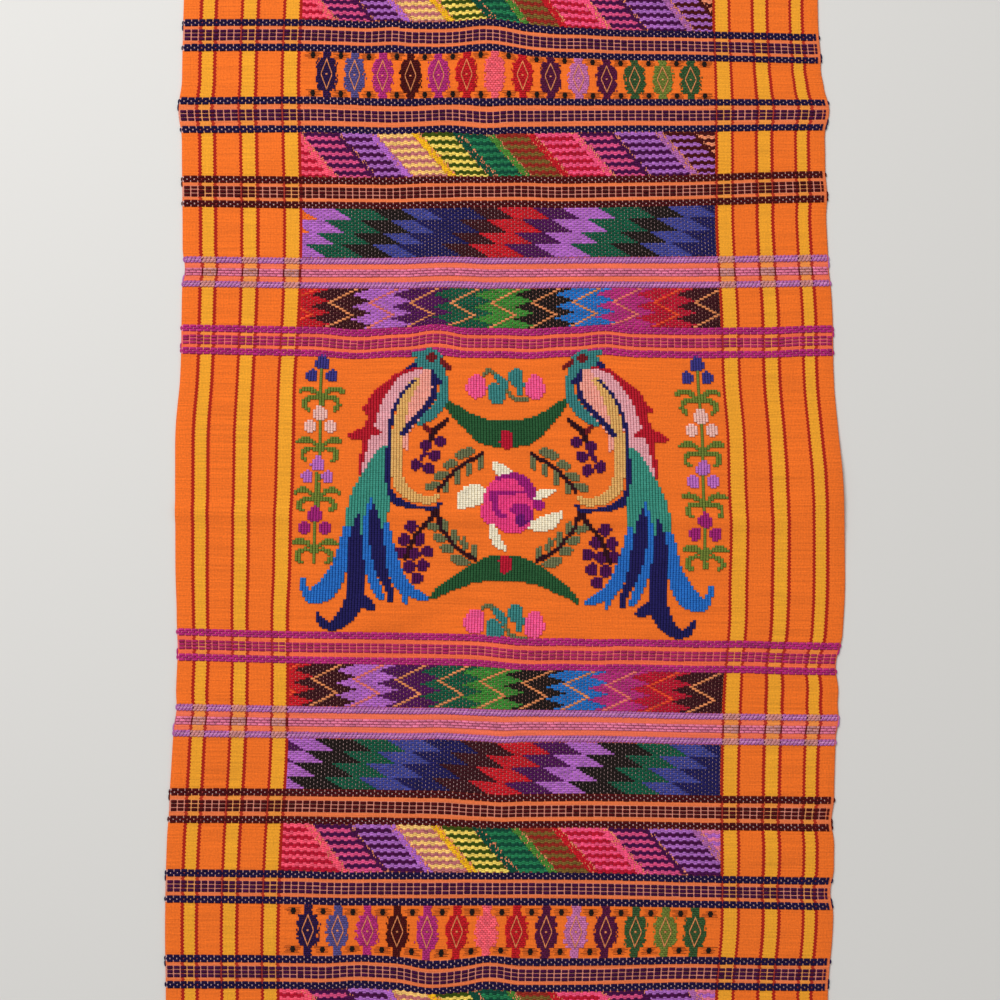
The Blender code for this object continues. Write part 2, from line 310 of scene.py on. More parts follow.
    def place(self, across: Numbers, along: Numbers) -> tuple[Numbers, Numbers]:
        """Where points of the flat cloth lie on the table.

        Args:
            across: Places across the flat cloth, in millimetres.
            along: Places along it.

        Returns:
            Their x and y on the table, in millimetres.
        """
        edges = np.array(self.edge_rows)
        lines = np.stack([smooth(edges[:, 0], edges[:, column], along) for column in range(1, 5)])
        for middle, half, left, right in self.pulls:
            lines[0] += left * bump((along - middle) / half)
            lines[3] += right * bump((along - middle) / half)
        flat = np.array(self.flat_across)
        zone = np.clip(np.searchsorted(flat, across.ravel()) - 1, 0, 2).reshape(across.shape)
        share = (across - flat[zone]) / (flat[zone + 1] - flat[zone])
        low = np.take_along_axis(lines, zone[None], axis=0)[0]
        high = np.take_along_axis(lines, zone[None] + 1, axis=0)[0]
        spread = edges[:, 1:]
        middle = (spread.min() + spread.max()) / 2.0
        return low + (high - low) * share - middle, along + self.sag(across, along)

    def sag(self, across: Numbers, along: Numbers) -> Numbers:
        """How far the weft runs up or down the table: the rib bands' sags, with small ripples."""
        hem = self.hem_place
        places = np.array([-hem] + [rib.along for rib in self.ribs] + [hem])
        sags = np.array([(0.0,) * 7] + [rib.sags for rib in self.ribs] + [(0.0,) * 7])
        at_columns = np.stack([smooth(places, line, along.ravel()) for line in sags.T])
        sagged = smooth(np.array(self.sag_across), at_columns, across.ravel()).reshape(across.shape)
        return sagged + sum(ripple.height(across, along) for ripple in self.ripples)

    def lift(self, across: Numbers, along: Numbers, fine: bool = True) -> Numbers:
        """How far the sheet stands off the table.

        Args:
            across: Places across the flat cloth.
            along: Places along it.
            fine: Whether the small wrinkles are in it, which the solid's sheet leaves out.

        Returns:
            The height of the sheet's underside, in millimetres.
        """
        crease = self.crease_rise * bump((along - self.crease_along) / self.crease_reach)
        spine = self.spine_rise * bump((across - self.spine_across) / self.spine_reach)
        heights = [crease, spine] + [swell.height(across, along) for swell in self.swells]
        height = np.max(heights, axis=0)
        if fine:
            height = height + sum(ridge.height(across, along) for ridge in self.wrinkles)
        return height

    def ground_rise(self, across: Numbers, along: Numbers) -> Numbers:
        """The sheet's own thickness, in millimetres: thin selvedges and doubled hems."""
        into_hem = np.abs(along) - (self.hem_place - self.hem_depth)
        thick = self.ground_thick + self.hem_rise * np.clip(into_hem / self.hem_slope, 0.0, 1.0)
        edge = np.minimum(across - self.flat_across[0], self.flat_across[-1] - across)
        thin = self.selvedge_thick / self.ground_thick
        return thick * (thin + (1.0 - thin) * np.clip(edge / self.selvedge_width, 0.0, 1.0))


CLOTH = LaidCloth()


@dataclass(frozen=True)
class Tie:
    """How the warp ties weft floats down: its pitch, how far it moves on each row, and its gap."""

    pitch: float
    steps: tuple[float, ...]
    gap: float

    def places(self, row: int, low: float, high: float) -> Numbers:
        """The tie places of one row between low and high."""
        start = self.steps[row % len(self.steps)] * self.pitch
        first = math.ceil((low - start) / self.pitch)
        last = math.floor((high - start) / self.pitch)
        return start + self.pitch * np.arange(first, last + 1)


BROCADE_TIE = Tie(4.4, (0.0, 0.5), 0.2)
WAVE_TIE = Tie(2.27, (0.0,), -0.5)
FIGURE_TIE = Tie(2.27, (0.0, 0.5), 0.0)


@dataclass
class Floats:
    """Weft floats gathered for one piece: each with its two ends, its row, its size and its colour."""

    parts: list[Numbers] = field(default_factory=list)

    def add(self, ends: Numbers, along: float | Numbers, width: float, height: float | Numbers,
            yarns: Numbers, skew: float = 0.0) -> None:
        """Add the floats of one row.

        Args:
            ends: A row of two places across for each float.
            along: The row's place along the cloth, or each float's.
            width: The yarn's width as it lies, in millimetres.
            height: How far its crown stands above the ground, or each float's.
            yarns: Each float's yarn number.
            skew: How far each float's right end lies above its left end.
        """
        count = len(ends)
        rows = np.column_stack([
            ends, np.zeros(count) + along, np.full(count, width), np.zeros(count) + height,
            np.full(count, skew), yarns,
        ])
        self.parts.append(rows)

    @property
    def table(self) -> Numbers:
        """All floats, a row for each: two ends, along, width, height, skew and yarn number."""
        return np.concatenate(self.parts)


def weave_row(low: float, high: float, tie: Tie, row: int, step: float,
              yarn_at: Callable[[Numbers], Numbers]) -> tuple[Numbers, Numbers]:
    """Split one weft row into floats, at its ties and wherever its yarn changes.

    Args:
        low: Where the row starts across the cloth.
        high: Where it ends.
        tie: How it is tied down.
        row: The row's number.
        step: The finest step across at which the yarn can change.
        yarn_at: Gives the yarn numbers at places across.

    Returns:
        The two ends of each float and its yarn number.
    """
    steps = np.arange(math.floor(low / step), math.ceil(high / step) + 1) * step
    middles = (steps[:-1] + steps[1:]) / 2.0
    yarns = yarn_at(middles)
    changes = steps[1:-1][yarns[1:] != yarns[:-1]]
    ties = tie.places(row, low, high)
    if len(changes) and len(ties):
        nearest = np.abs(ties[:, None] - changes[None]).min(axis=1)
        ties = ties[nearest > max(tie.gap, step)]
    cuts = np.unique(np.concatenate([[low, high], changes[(changes > low) & (changes < high)], ties]))
    ends = np.column_stack([cuts[:-1], cuts[1:]])
    found = yarns[np.clip(np.searchsorted(steps, ends.mean(axis=1)) - 1, 0, len(yarns) - 1)]
    tied = np.isin(ends, ties)
    ends = ends + np.where(tied, tie.gap / 2.0, 0.0) * np.array([1.0, -1.0])
    kept = (found != NO_YARN) & (ends[:, 1] - ends[:, 0] > step * 0.6)
    return ends[kept], found[kept]


def move_points(model: bpy.types.Object, chosen: Callable, move: Callable) -> None:
    """Select some of a model's points and apply one edit-mode operator to them.

    Args:
        model: The object being shaped.
        chosen: Says of a point's place whether it is selected.
        move: Calls the operator.
    """
    for part in (model.data.vertices, model.data.edges, model.data.polygons):
        for item in part:
            item.select = False
    for vertex in model.data.vertices:
        vertex.select = chosen(vertex.co)
    bpy.ops.object.mode_set(mode="EDIT")
    move()
    bpy.ops.object.mode_set(mode="OBJECT")


def take_shape(model: bpy.types.Object) -> tuple[Numbers, Numbers]:
    """Read a finished model's points and triangles, and clear it away.

    Args:
        model: The shaped object.

    Returns:
        Its points and its triangles, facing out.
    """
    bpy.ops.object.mode_set(mode="EDIT")
    bpy.ops.mesh.select_all(action="SELECT")
    bpy.ops.mesh.quads_convert_to_tris()
    bpy.ops.mesh.normals_make_consistent(inside=False)
    bpy.ops.object.mode_set(mode="OBJECT")
    points = np.array([vertex.co[:] for vertex in model.data.vertices])
    faces = np.array([face.vertices[:] for face in model.data.polygons])
    bpy.data.objects.remove(model, do_unlink=True)
    return points, faces


@dataclass(frozen=True)
class FloatShape:
    """A yarn float that is modelled and then repeated: a unit long, wide and high."""

    shoulder: float = 0.45
    tip_drop: float = 0.36
    breadth: float = 1.16
    sunk: float = 0.32
    uneven: float = 1.0

    def model(self) -> tuple[Numbers, Numbers]:
        """Model the float: a ball with its shoulders pulled apart and its tips dipped.

        Returns:
            Its points and its faces as triangles.
        """
        bpy.ops.object.select_all(action="DESELECT")
        bpy.ops.mesh.primitive_uv_sphere_add(segments=4, ring_count=3, radius=0.5,
                                             rotation=(0.0, math.radians(90.0), 0.0))
        ball = bpy.context.object
        bpy.ops.object.transform_apply(location=True, rotation=True, scale=True)
        move_points(ball, lambda point: abs(point.x) > 0.4,
                    lambda: bpy.ops.transform.translate(value=(0.0, 0.0, -self.tip_drop)))
        spread = (self.shoulder / 0.25, self.breadth, self.breadth)
        move_points(ball, lambda point: abs(point.x) < 0.4, lambda: bpy.ops.transform.resize(value=spread))
        return take_shape(ball)


@dataclass(frozen=True)
class StitchShape:
    """A stitch of the centre picture, modelled once: a low rise whose crest runs along the cloth."""

    crest: float = 0.44
    sunk: float = 0.62
    uneven: float = 0.45

    def model(self) -> tuple[Numbers, Numbers]:
        """Model the stitch: a cube with its top drawn together across.

        Returns:
            Its points and its faces as triangles.
        """
        bpy.ops.object.select_all(action="DESELECT")
        bpy.ops.mesh.primitive_cube_add(size=1.0)
        block = bpy.context.object
        move_points(block, lambda point: point.z > 0.0,
                    lambda: bpy.ops.transform.resize(value=(self.crest, 1.0, 1.0)))
        return take_shape(block)


LONG_FLOAT = FloatShape()
SHORT_STITCH = StitchShape()


class YarnWorks:
    """Turns gathered floats and loops into finished pieces."""

    def __init__(self, cloth: LaidCloth) -> None:
        """Model each kind of float once, for cloth."""
        self.cloth = cloth
        self.models = {shape: shape.model() for shape in (LONG_FLOAT, SHORT_STITCH)}
        self.random = np.random.default_rng(SEED)

    def spread(self, floats: Numbers, shape: FloatShape | StitchShape) -> tuple[Numbers, Numbers]:
        """Place a copy of a modelled float for each row of a table.

        Args:
            floats: The table of a Floats.
            shape: The modelled float.

        Returns:
            Points in metres, and the linear colour of each.
        """
        model = self.models[shape][0]
        count, size = len(floats), len(model)
        left, right, along, width, height, skew, yarns = (column[:, None] for column in floats.T)
        jitter = self.random.normal(0.0, shape.uneven, (count, 3))
        px, py, pz = (model[None, :, axis] for axis in range(3))
        across = (left + right) / 2.0 + px * (right - left)
        rows = along + py * width * (1.0 + 0.05 * jitter[:, :1]) + px * skew + 0.06 * jitter[:, 1:2]
        x, y = self.cloth.place(across, rows)
        middle_across, middle_along = (left + right) / 2.0, along
        base = self.cloth.ground_rise(middle_across, middle_along)
        lift = self.cloth.lift(across, rows)
        z = lift + base + (pz + shape.sunk) * height * (1.0 + 0.06 * jitter[:, 2:])
        shade = 1.0 + 0.10 * self.random.normal(0.0, shape.uneven, (count, 1))
        colours = YARN_LINEAR[yarns[:, 0].astype(int)] * np.clip(shade, 0.7, 1.35)
        points = np.stack([x, y, z], axis=-1).reshape(-1, 3) * MM
        return points, np.repeat(colours, size, axis=0)

    def piece(self, name: str, floats: Floats, finish: "YarnFinish", shape: FloatShape | StitchShape = LONG_FLOAT,
              loops: Sequence[tuple[Numbers, Numbers, Numbers]] = ()) -> bpy.types.Object:
        """Make one piece of all its floats, and dress it.

        Args:
            name: The piece's name.
            floats: Its floats.
            finish: Its yarn's finish.
            shape: The float that is repeated.
            loops: Further closed tubes, each as points, triangles and colours.

        Returns:
            The finished piece, riding on the runner.
        """
        model_points, model_faces = self.models[shape]
        points, colours = self.spread(floats.table, shape)
        offsets = np.arange(0, len(points), len(model_points))[:, None, None]
        faces = (model_faces[None] + offsets).reshape(-1, 3)
        for loop_points, loop_faces, loop_colours in loops:
            faces = np.concatenate([faces, loop_faces + len(points)])
            points = np.concatenate([points, loop_points])
            colours = np.concatenate([colours, loop_colours])
        piece = mesh_piece(name, points, faces)
        paint(piece.data, "yarn", colours)
        planar_map(piece.data)
        piece.data.materials.append(finish.material())
        report_piece(piece)
        return piece


def mesh_piece(name: str, points: Numbers, faces: Numbers) -> bpy.types.Object:
    """A new object of points and faces that all have the same number of corners.

    Args:
        name: The object's and the mesh's name.
        points: The points, in metres.
        faces: A row of point numbers for each face.

    Returns:
        The object, linked to the scene and shaded smooth.
    """
    mesh = bpy.data.meshes.new(name)
    corners = faces.shape[1]
    mesh.vertices.add(len(points))
    mesh.vertices.foreach_set("co", points.astype(np.float32).ravel())
    mesh.loops.add(faces.size)
    mesh.loops.foreach_set("vertex_index", faces.astype(np.int32).ravel())
    mesh.polygons.add(len(faces))
    mesh.polygons.foreach_set("loop_start", np.arange(len(faces), dtype=np.int32) * corners)
    mesh.update(calc_edges=True)
    mesh.shade_smooth()
    piece = bpy.data.objects.new(name, mesh)
    bpy.context.scene.collection.objects.link(piece)
    return piece


def paint(mesh: bpy.types.Mesh, name: str, colours: Numbers) -> None:
    """Give a mesh a colour attribute.

    Args:
        mesh: The mesh.
        name: The attribute's name.
        colours: A linear colour for each point, of three or four values.
    """
    if colours.shape[1] == 3:
        colours = np.column_stack([colours, np.ones(len(colours))])
    attribute = mesh.color_attributes.new(name=name, type="FLOAT_COLOR", domain="POINT")
    attribute.data.foreach_set("color", colours.astype(np.float32).ravel())


def planar_map(mesh: bpy.types.Mesh, top_share: float = 1.0) -> None:
    """Map a mesh from above for baking, with what faces down kept apart from it.

    Args:
        mesh: The mesh.
        top_share: The share of the map's width for what faces up. What faces down fills the rest,
            or a small corner if there is no rest.
    """
    corner_points = np.empty(len(mesh.loops), dtype=np.int32)
    mesh.loops.foreach_get("vertex_index", corner_points)
    places = np.empty(len(mesh.vertices) * 3, dtype=np.float32)
    mesh.vertices.foreach_get("co", places)
    places = places.reshape(-1, 3)[:, :2]
    low, high = places.min(axis=0), places.max(axis=0)
    share = (places[corner_points] - low) / (high - low)
    normals = np.empty(len(mesh.polygons) * 3, dtype=np.float32)
    mesh.polygons.foreach_get("normal", normals)
    sizes = np.empty(len(mesh.polygons), dtype=np.int32)
    mesh.polygons.foreach_get("loop_total", sizes)
    down = np.repeat(normals.reshape(-1, 3)[:, 2] < -0.05, sizes)
    margin = 0.004
    top_width = top_share - 2.0 * margin
    rest = 1.0 - top_share - margin
    mapped = np.column_stack([margin + share[:, 0] * top_width, margin + share[:, 1] * (1.0 - 2.0 * margin)])
    if rest > 0.0:
        mapped[down, 0] = top_share + share[down, 0] * rest
    else:
        mapped[down] = share[down] * margin * 0.5
    layer = mesh.uv_layers.new(name="OFBake")
    layer.uv.foreach_set("vector", mapped.astype(np.float32).ravel())


def report_piece(piece: bpy.types.Object) -> None:
    """Tie a finished piece to the runner and say what it is."""
    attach(piece, "root")
    LOG.info("%s: %d points, %d faces", piece.name, len(piece.data.vertices), len(piece.data.polygons))


class NodeSketch:
    """Adds and joins the nodes of one tree."""

    def __init__(self, tree: bpy.types.NodeTree) -> None:
        """Sketch in tree."""
        self.tree = tree

    def add(self, kind: str, links: dict[str, object] | None = None, **settings: object) -> bpy.types.Node:
        """Add one node.

        Args:
            kind: The node's type.
            links: What feeds each input, by name or number: a socket, or a value to set.
            settings: The node's own properties.

        Returns:
            The new node.
        """
        node = self.tree.nodes.new(kind)
        for name, value in settings.items():
            setattr(node, name, value)
        for name, value in (links or {}).items():
            socket = node.inputs[name]
            if isinstance(value, bpy.types.NodeSocket):
                self.tree.links.new(value, socket)
            else:
                socket.default_value = value
        return node

    def math(self, operation: str, *values: object) -> bpy.types.NodeSocket:
        """The result of one Math node on the given sockets or numbers."""
        node = self.add("ShaderNodeMath", dict(enumerate(values)), operation=operation)
        return node.outputs[0]

    def mix(self, factor: object, first: object, second: object, blend: str = "MIX") -> bpy.types.NodeSocket:
        """The colour from one Mix node.

        Args:
            factor: How much of the second colour.
            first: The first colour.
            second: The second colour.
            blend: How they are mixed.

        Returns:
            The mixed colour's socket.
        """
        node = self.add("ShaderNodeMix", {0: factor, 6: first, 7: second}, data_type="RGBA", blend_type=blend)
        return node.outputs[2]


def node_group(name: str, inputs: Sequence[tuple[str, str, float]], outputs: Sequence[tuple[str, str]],
               fill: Callable[[NodeSketch, dict, dict], None]) -> bpy.types.NodeTree:
    """A shader node group, built the first time it is asked for.

    Args:
        name: The group's name.
        inputs: Name, socket type and default value of each input.
        outputs: Name and socket type of each output.
        fill: Adds the nodes between the inputs' sockets and the outputs' sockets.

    Returns:
        The group's node tree.
    """
    if name in bpy.data.node_groups:
        return bpy.data.node_groups[name]
    tree = bpy.data.node_groups.new(name, "ShaderNodeTree")
    for label, kind, default in inputs:
        socket = tree.interface.new_socket(name=label, in_out="INPUT", socket_type=kind)
        if kind == "NodeSocketFloat":
            socket.default_value = default
    for label, kind in outputs:
        tree.interface.new_socket(name=label, in_out="OUTPUT", socket_type=kind)
    sketch = NodeSketch(tree)
    given = tree.nodes.new("NodeGroupInput").outputs
    wanted = tree.nodes.new("NodeGroupOutput").inputs
    fill(sketch, {label: given[label] for label, _, _ in inputs}, {label: wanted[label] for label, _ in outputs})
    return tree


def fibre_group() -> bpy.types.NodeTree:
    """Spun cotton: ply lines that slant round the yarn, fibre grain and slow shade changes, with painted shade where
    the ply and fibre relief is low.
    """

    def fill(sketch: NodeSketch, given: dict, wanted: dict) -> None:
        """Add the ply wave, the fibre noise, the painted shade in their grooves and the shade noise."""
        scaled = sketch.add("ShaderNodeVectorMath", {0: given["Place"], 3: 1000.0}, operation="SCALE").outputs[0]
        split = sketch.add("ShaderNodeSeparateXYZ", {0: scaled}).outputs
        slant = sketch.math("ADD", sketch.math("MULTIPLY", split[0], 0.8), split[1])
        turns = sketch.math("DIVIDE", slant, given["Ply pitch"])
        ply = sketch.math("SINE", sketch.math("MULTIPLY", turns, 2.0 * math.pi))
        ply = sketch.math("MULTIPLY_ADD", ply, 0.5, 0.5)
        fibre = sketch.add("ShaderNodeTexNoise", {"Vector": scaled, "Scale": 2.6, "Detail": 3.0}).outputs[0]
        slow = sketch.add("ShaderNodeTexNoise", {"Vector": scaled, "Scale": 0.06, "Detail": 2.0}).outputs[0]
        height = sketch.math("ADD", sketch.math("MULTIPLY", ply, 0.6), sketch.math("MULTIPLY", fibre, 0.6))
        # Painted shade: the colour is darkened where the ply wave and fibre noise are low, in the grooves between
        # plies, over the fibres' random grain.
        low = sketch.math("MULTIPLY_ADD", given["Depth"], -0.5, 1.0)
        groove_shade_and_grain = sketch.math("MULTIPLY_ADD", height, given["Depth"], low)
        patchy = sketch.math("MULTIPLY_ADD", slow, 0.24, 0.88)
        shade = sketch.math("MULTIPLY", groove_shade_and_grain, patchy)
        grey = sketch.add("ShaderNodeCombineColor", {0: shade, 1: shade, 2: shade}).outputs[0]
        colour = sketch.mix(1.0, given["Colour"], grey, "MULTIPLY")
        sketch.tree.links.new(colour, wanted["Colour"])
        sketch.tree.links.new(height, wanted["Height"])

    return node_group(
        "spun_fibre",
        [("Colour", "NodeSocketColor", 0.0), ("Place", "NodeSocketVector", 0.0),
         ("Ply pitch", "NodeSocketFloat", 0.9), ("Depth", "NodeSocketFloat", 0.3)],
        [("Colour", "NodeSocketColor"), ("Height", "NodeSocketFloat")],
        fill,
    )


def plain_weave_group() -> bpy.types.NodeTree:
    """Plain weave from places across and along the flat cloth: where warp or weft is on top."""

    def fill(sketch: NodeSketch, given: dict, wanted: dict) -> None:
        """Add the crossing waves and the uneven thread tension."""
        uneven = sketch.add("ShaderNodeTexNoise", {"Vector": given["Place"], "Scale": 0.12, "Detail": 2.0}).outputs[0]
        nudge = sketch.math("MULTIPLY", sketch.math("SUBTRACT", uneven, 0.5), 1.6)
        split = sketch.add("ShaderNodeSeparateXYZ", {0: given["Place"]}).outputs
        warp_turn = sketch.math("DIVIDE", sketch.math("ADD", split[0], nudge), given["Warp pitch"])
        weft_turn = sketch.math("DIVIDE", sketch.math("ADD", split[1], nudge), given["Weft pitch"])
        warp = sketch.math("SINE", sketch.math("MULTIPLY", warp_turn, math.pi))
        weft = sketch.math("SINE", sketch.math("MULTIPLY", weft_turn, math.pi))
        crossing = sketch.math("MULTIPLY", warp, weft)
        sketch.tree.links.new(sketch.math("ABSOLUTE", crossing), wanted["Height"])
        sketch.tree.links.new(sketch.math("MULTIPLY_ADD", crossing, 0.5, 0.5), wanted["Weft on top"])

    return node_group(
        "plain_weave",
        [("Place", "NodeSocketVector", 0.0), ("Warp pitch", "NodeSocketFloat", 0.9),
         ("Weft pitch", "NodeSocketFloat", 0.8)],
        [("Height", "NodeSocketFloat"), ("Weft on top", "NodeSocketFloat")],
        fill,
    )


@dataclass(frozen=True)
class YarnFinish:
    """Matt or shiny cotton yarn, coloured by the piece's own yarn attribute."""

    name: str
    roughness: float = 0.82
    sheen: float = 0.02
    specular: float = 0.1
    ply_pitch: float = 0.95
    # How strongly the ply grooves and fibre grain darken the colour: painted shade.
    depth: float = 0.34
    relief: float = 0.0003

    def material(self) -> bpy.types.Material:
        """The material, made the first time it is asked for."""
        if self.name in bpy.data.materials:
            return bpy.data.materials[self.name]
        material = bpy.data.materials.new(self.name)
        material.use_nodes = True
        sketch = NodeSketch(material.node_tree)
        shader = material.node_tree.nodes["Principled BSDF"]
        colour = sketch.add("ShaderNodeAttribute", attribute_name="yarn").outputs["Color"]
        place = sketch.add("ShaderNodeTexCoord").outputs["Object"]
        fibre = sketch.add("ShaderNodeGroup", node_tree=fibre_group())
        sketch.tree.links.new(colour, fibre.inputs["Colour"])
        sketch.tree.links.new(place, fibre.inputs["Place"])
        fibre.inputs["Ply pitch"].default_value = self.ply_pitch
        fibre.inputs["Depth"].default_value = self.depth
        relief = sketch.add("ShaderNodeBump", {"Strength": 0.6, "Distance": self.relief,
                                               "Height": fibre.outputs["Height"]})
        sketch.tree.links.new(fibre.outputs["Colour"], shader.inputs["Base Color"])
        sketch.tree.links.new(relief.outputs["Normal"], shader.inputs["Normal"])
        shader.inputs["Roughness"].default_value = self.roughness
        shader.inputs["Sheen Weight"].default_value = self.sheen
        shader.inputs["Specular IOR Level"].default_value = self.specular
        return material


@dataclass(frozen=True)
class GroundFinish:
    """The plain-woven ground: warp stripes in three colours under a tinted weft."""

    ground: tuple[float, float, float] = (248, 115, 30)
    yellow: tuple[float, float, float] = (246, 172, 40)
    red: tuple[float, float, float] = (170, 12, 0)
    keeps: tuple[float, float, float] = (1.0, 0.55, 0.12)
    stripe_edges: tuple[float, ...] = (-199.3, -190.0, -173.8, -163.8, -147.3, -137.0,
                                       138.0, 148.3, 164.2, 174.3, 189.8, 198.2)
    red_width: float = 2.0
    serration: float = 0.36
    serration_pitch: float = 2.15
    speckle: float = 0.5
    weft_slub: float = 0.66
    warp_slub: float = 0.16
    sides: tuple[tuple[float, float], ...] = ((-203.0, -133.0), (134.0, 202.0))
    warp_pitch: float = 0.95
    weft_pitch: float = 0.85
    roughness: float = 0.9
    sheen: float = 0.15

    def stops(self, low: float, high: float) -> list[tuple[float, tuple[float, ...]]]:
        """The stripes of one side from left to right.

        Args:
            low: Where the side's stripes start across the cloth.
            high: Where they end.

        Returns:
            Where each starts, as a share of the side, and its linear colour and how well weft tints it.
        """
        ground, yellow, red = (linear(colour) + (kept,) for colour, kept
                               in zip((self.ground, self.yellow, self.red), self.keeps))
        found = [(low, ground)]
        for number, edge in enumerate(edge for edge in self.stripe_edges if low < edge < high):
            inside = yellow if number % 2 == 0 else ground
            found += [(edge - self.red_width / 2.0, red), (edge + self.red_width / 2.0, inside)]
        return [((start - low) / (high - low), colour) for start, colour in found]

    def material(self) -> bpy.types.Material:
        """The ground cloth's material, read from its own flat places and weft colours, with painted shade where the
        woven threads dip.
        """
        material = bpy.data.materials.new("striped_ground")
        material.use_nodes = True
        sketch = NodeSketch(material.node_tree)
        shader = material.node_tree.nodes["Principled BSDF"]
        place = sketch.add("ShaderNodeAttribute", attribute_name="flat_place").outputs["Vector"]
        tint = sketch.add("ShaderNodeAttribute", attribute_name="weft")
        split = sketch.add("ShaderNodeSeparateXYZ", {0: place}).outputs
        stripes, takes_tint = self._stripes(sketch, split[0], split[1])
        weave = sketch.add("ShaderNodeGroup", node_tree=plain_weave_group())
        sketch.tree.links.new(place, weave.inputs["Place"])
        weave.inputs["Warp pitch"].default_value = self.warp_pitch
        weave.inputs["Weft pitch"].default_value = self.weft_pitch
        orange = linear(self.ground) + (1.0,)
        grain = sketch.add("ShaderNodeTexNoise", {"Vector": place, "Scale": 0.85, "Detail": 1.0}).outputs[0]
        crossed = sketch.math("MULTIPLY", sketch.math("ADD", weave.outputs["Weft on top"], grain), takes_tint)
        crossed = sketch.math("MULTIPLY", crossed, 0.3)
        woven = sketch.mix(crossed, stripes, orange)
        tinted = sketch.mix(sketch.math("MULTIPLY", tint.outputs["Alpha"], takes_tint), woven, tint.outputs["Color"])
        stretched = sketch.add("ShaderNodeMapping", {"Vector": place, "Scale": (0.02, 1.1, 1.0)}).outputs[0]
        streaks = sketch.add("ShaderNodeTexNoise", {"Vector": stretched, "Scale": 1.0, "Detail": 2.0}).outputs[0]
        warped = sketch.add("ShaderNodeMapping", {"Vector": place, "Scale": (1.3, 0.02, 1.0)}).outputs[0]
        ends = sketch.add("ShaderNodeTexNoise", {"Vector": warped, "Scale": 1.0, "Detail": 2.0}).outputs[0]
        grainy = sketch.math("MULTIPLY_ADD", grain, self.speckle, 0.83 - self.speckle / 2.0)
        # Painted shade: the colour is lighter on the thread crowns and darker where the threads dip at their crossings,
        # over random grain.
        fine = sketch.math("MULTIPLY_ADD", weave.outputs["Height"], 0.30, grainy)
        slub = sketch.math("MULTIPLY_ADD", streaks, self.weft_slub, 1.0 - (self.weft_slub + self.warp_slub) / 2.0)
        slub = sketch.math("MULTIPLY_ADD", ends, self.warp_slub, slub)
        shade = sketch.math("MULTIPLY", fine, slub)
        grey = sketch.add("ShaderNodeCombineColor", {0: shade, 1: shade, 2: shade}).outputs[0]
        colour = sketch.mix(1.0, tinted, grey, "MULTIPLY")
        relief = sketch.add("ShaderNodeBump", {"Strength": 0.5, "Distance": 0.00025,
                                               "Height": weave.outputs["Height"]})
        sketch.tree.links.new(colour, shader.inputs["Base Color"])
        sketch.tree.links.new(relief.outputs["Normal"], shader.inputs["Normal"])
        shader.inputs["Roughness"].default_value = self.roughness
        shader.inputs["Sheen Weight"].default_value = self.sheen
        shader.inputs["Specular IOR Level"].default_value = 0.25
        return material

    def _stripes(self, sketch: NodeSketch, across: object, along: object) -> tuple:
        """The warp stripes' colour, with the red lines' edges notched by the weave.

        Args:
            sketch: The material's nodes.
            across: The socket of places across.
            along: The socket of places along.

        Returns:
            The sockets of the stripes' colour and of how well weft tints them.
        """
        turn = sketch.math("MULTIPLY", along, 2.0 * math.pi / self.serration_pitch)
        notched = sketch.math("MULTIPLY_ADD", sketch.math("SINE", turn), self.serration, across)
        sides = []
        for low, high in self.sides:
            share = sketch.math("DIVIDE", sketch.math("SUBTRACT", notched, low), high - low)
            ramp = sketch.add("ShaderNodeValToRGB", {0: share})
            ramp.color_ramp.interpolation = "CONSTANT"
            stops, elements = self.stops(low, high), ramp.color_ramp.elements
            while len(elements) < len(stops):
                elements.new(1.0)
            for element, (start, colour) in zip(elements, stops):
                element.position = start
                element.color = colour
            sides.append(ramp.outputs)
        on_right = sketch.math("GREATER_THAN", across, 0.0)
        kept = sketch.add("ShaderNodeMix", {0: on_right, 2: sides[0][1], 3: sides[1][1]}, data_type="FLOAT")
        return sketch.mix(on_right, sides[0][0], sides[1][0]), kept.outputs[0]


RIB_YARN = YarnFinish("rib_yarn", roughness=0.86, ply_pitch=1.2)
BROCADE_YARN = YarnFinish("brocade_yarn", roughness=0.7, specular=0.14)
STITCH_YARN = YarnFinish("stitch_yarn", roughness=0.7, ply_pitch=0.6)


@dataclass(frozen=True)
class WeftTint:
    """How a stretch of weft tints the ground: where, in what colour and how strongly."""

    low: float
    high: float
    colour: tuple[float, float, float]
    strength: float
    panel_only: bool = False
    right_inset: float = 0.0


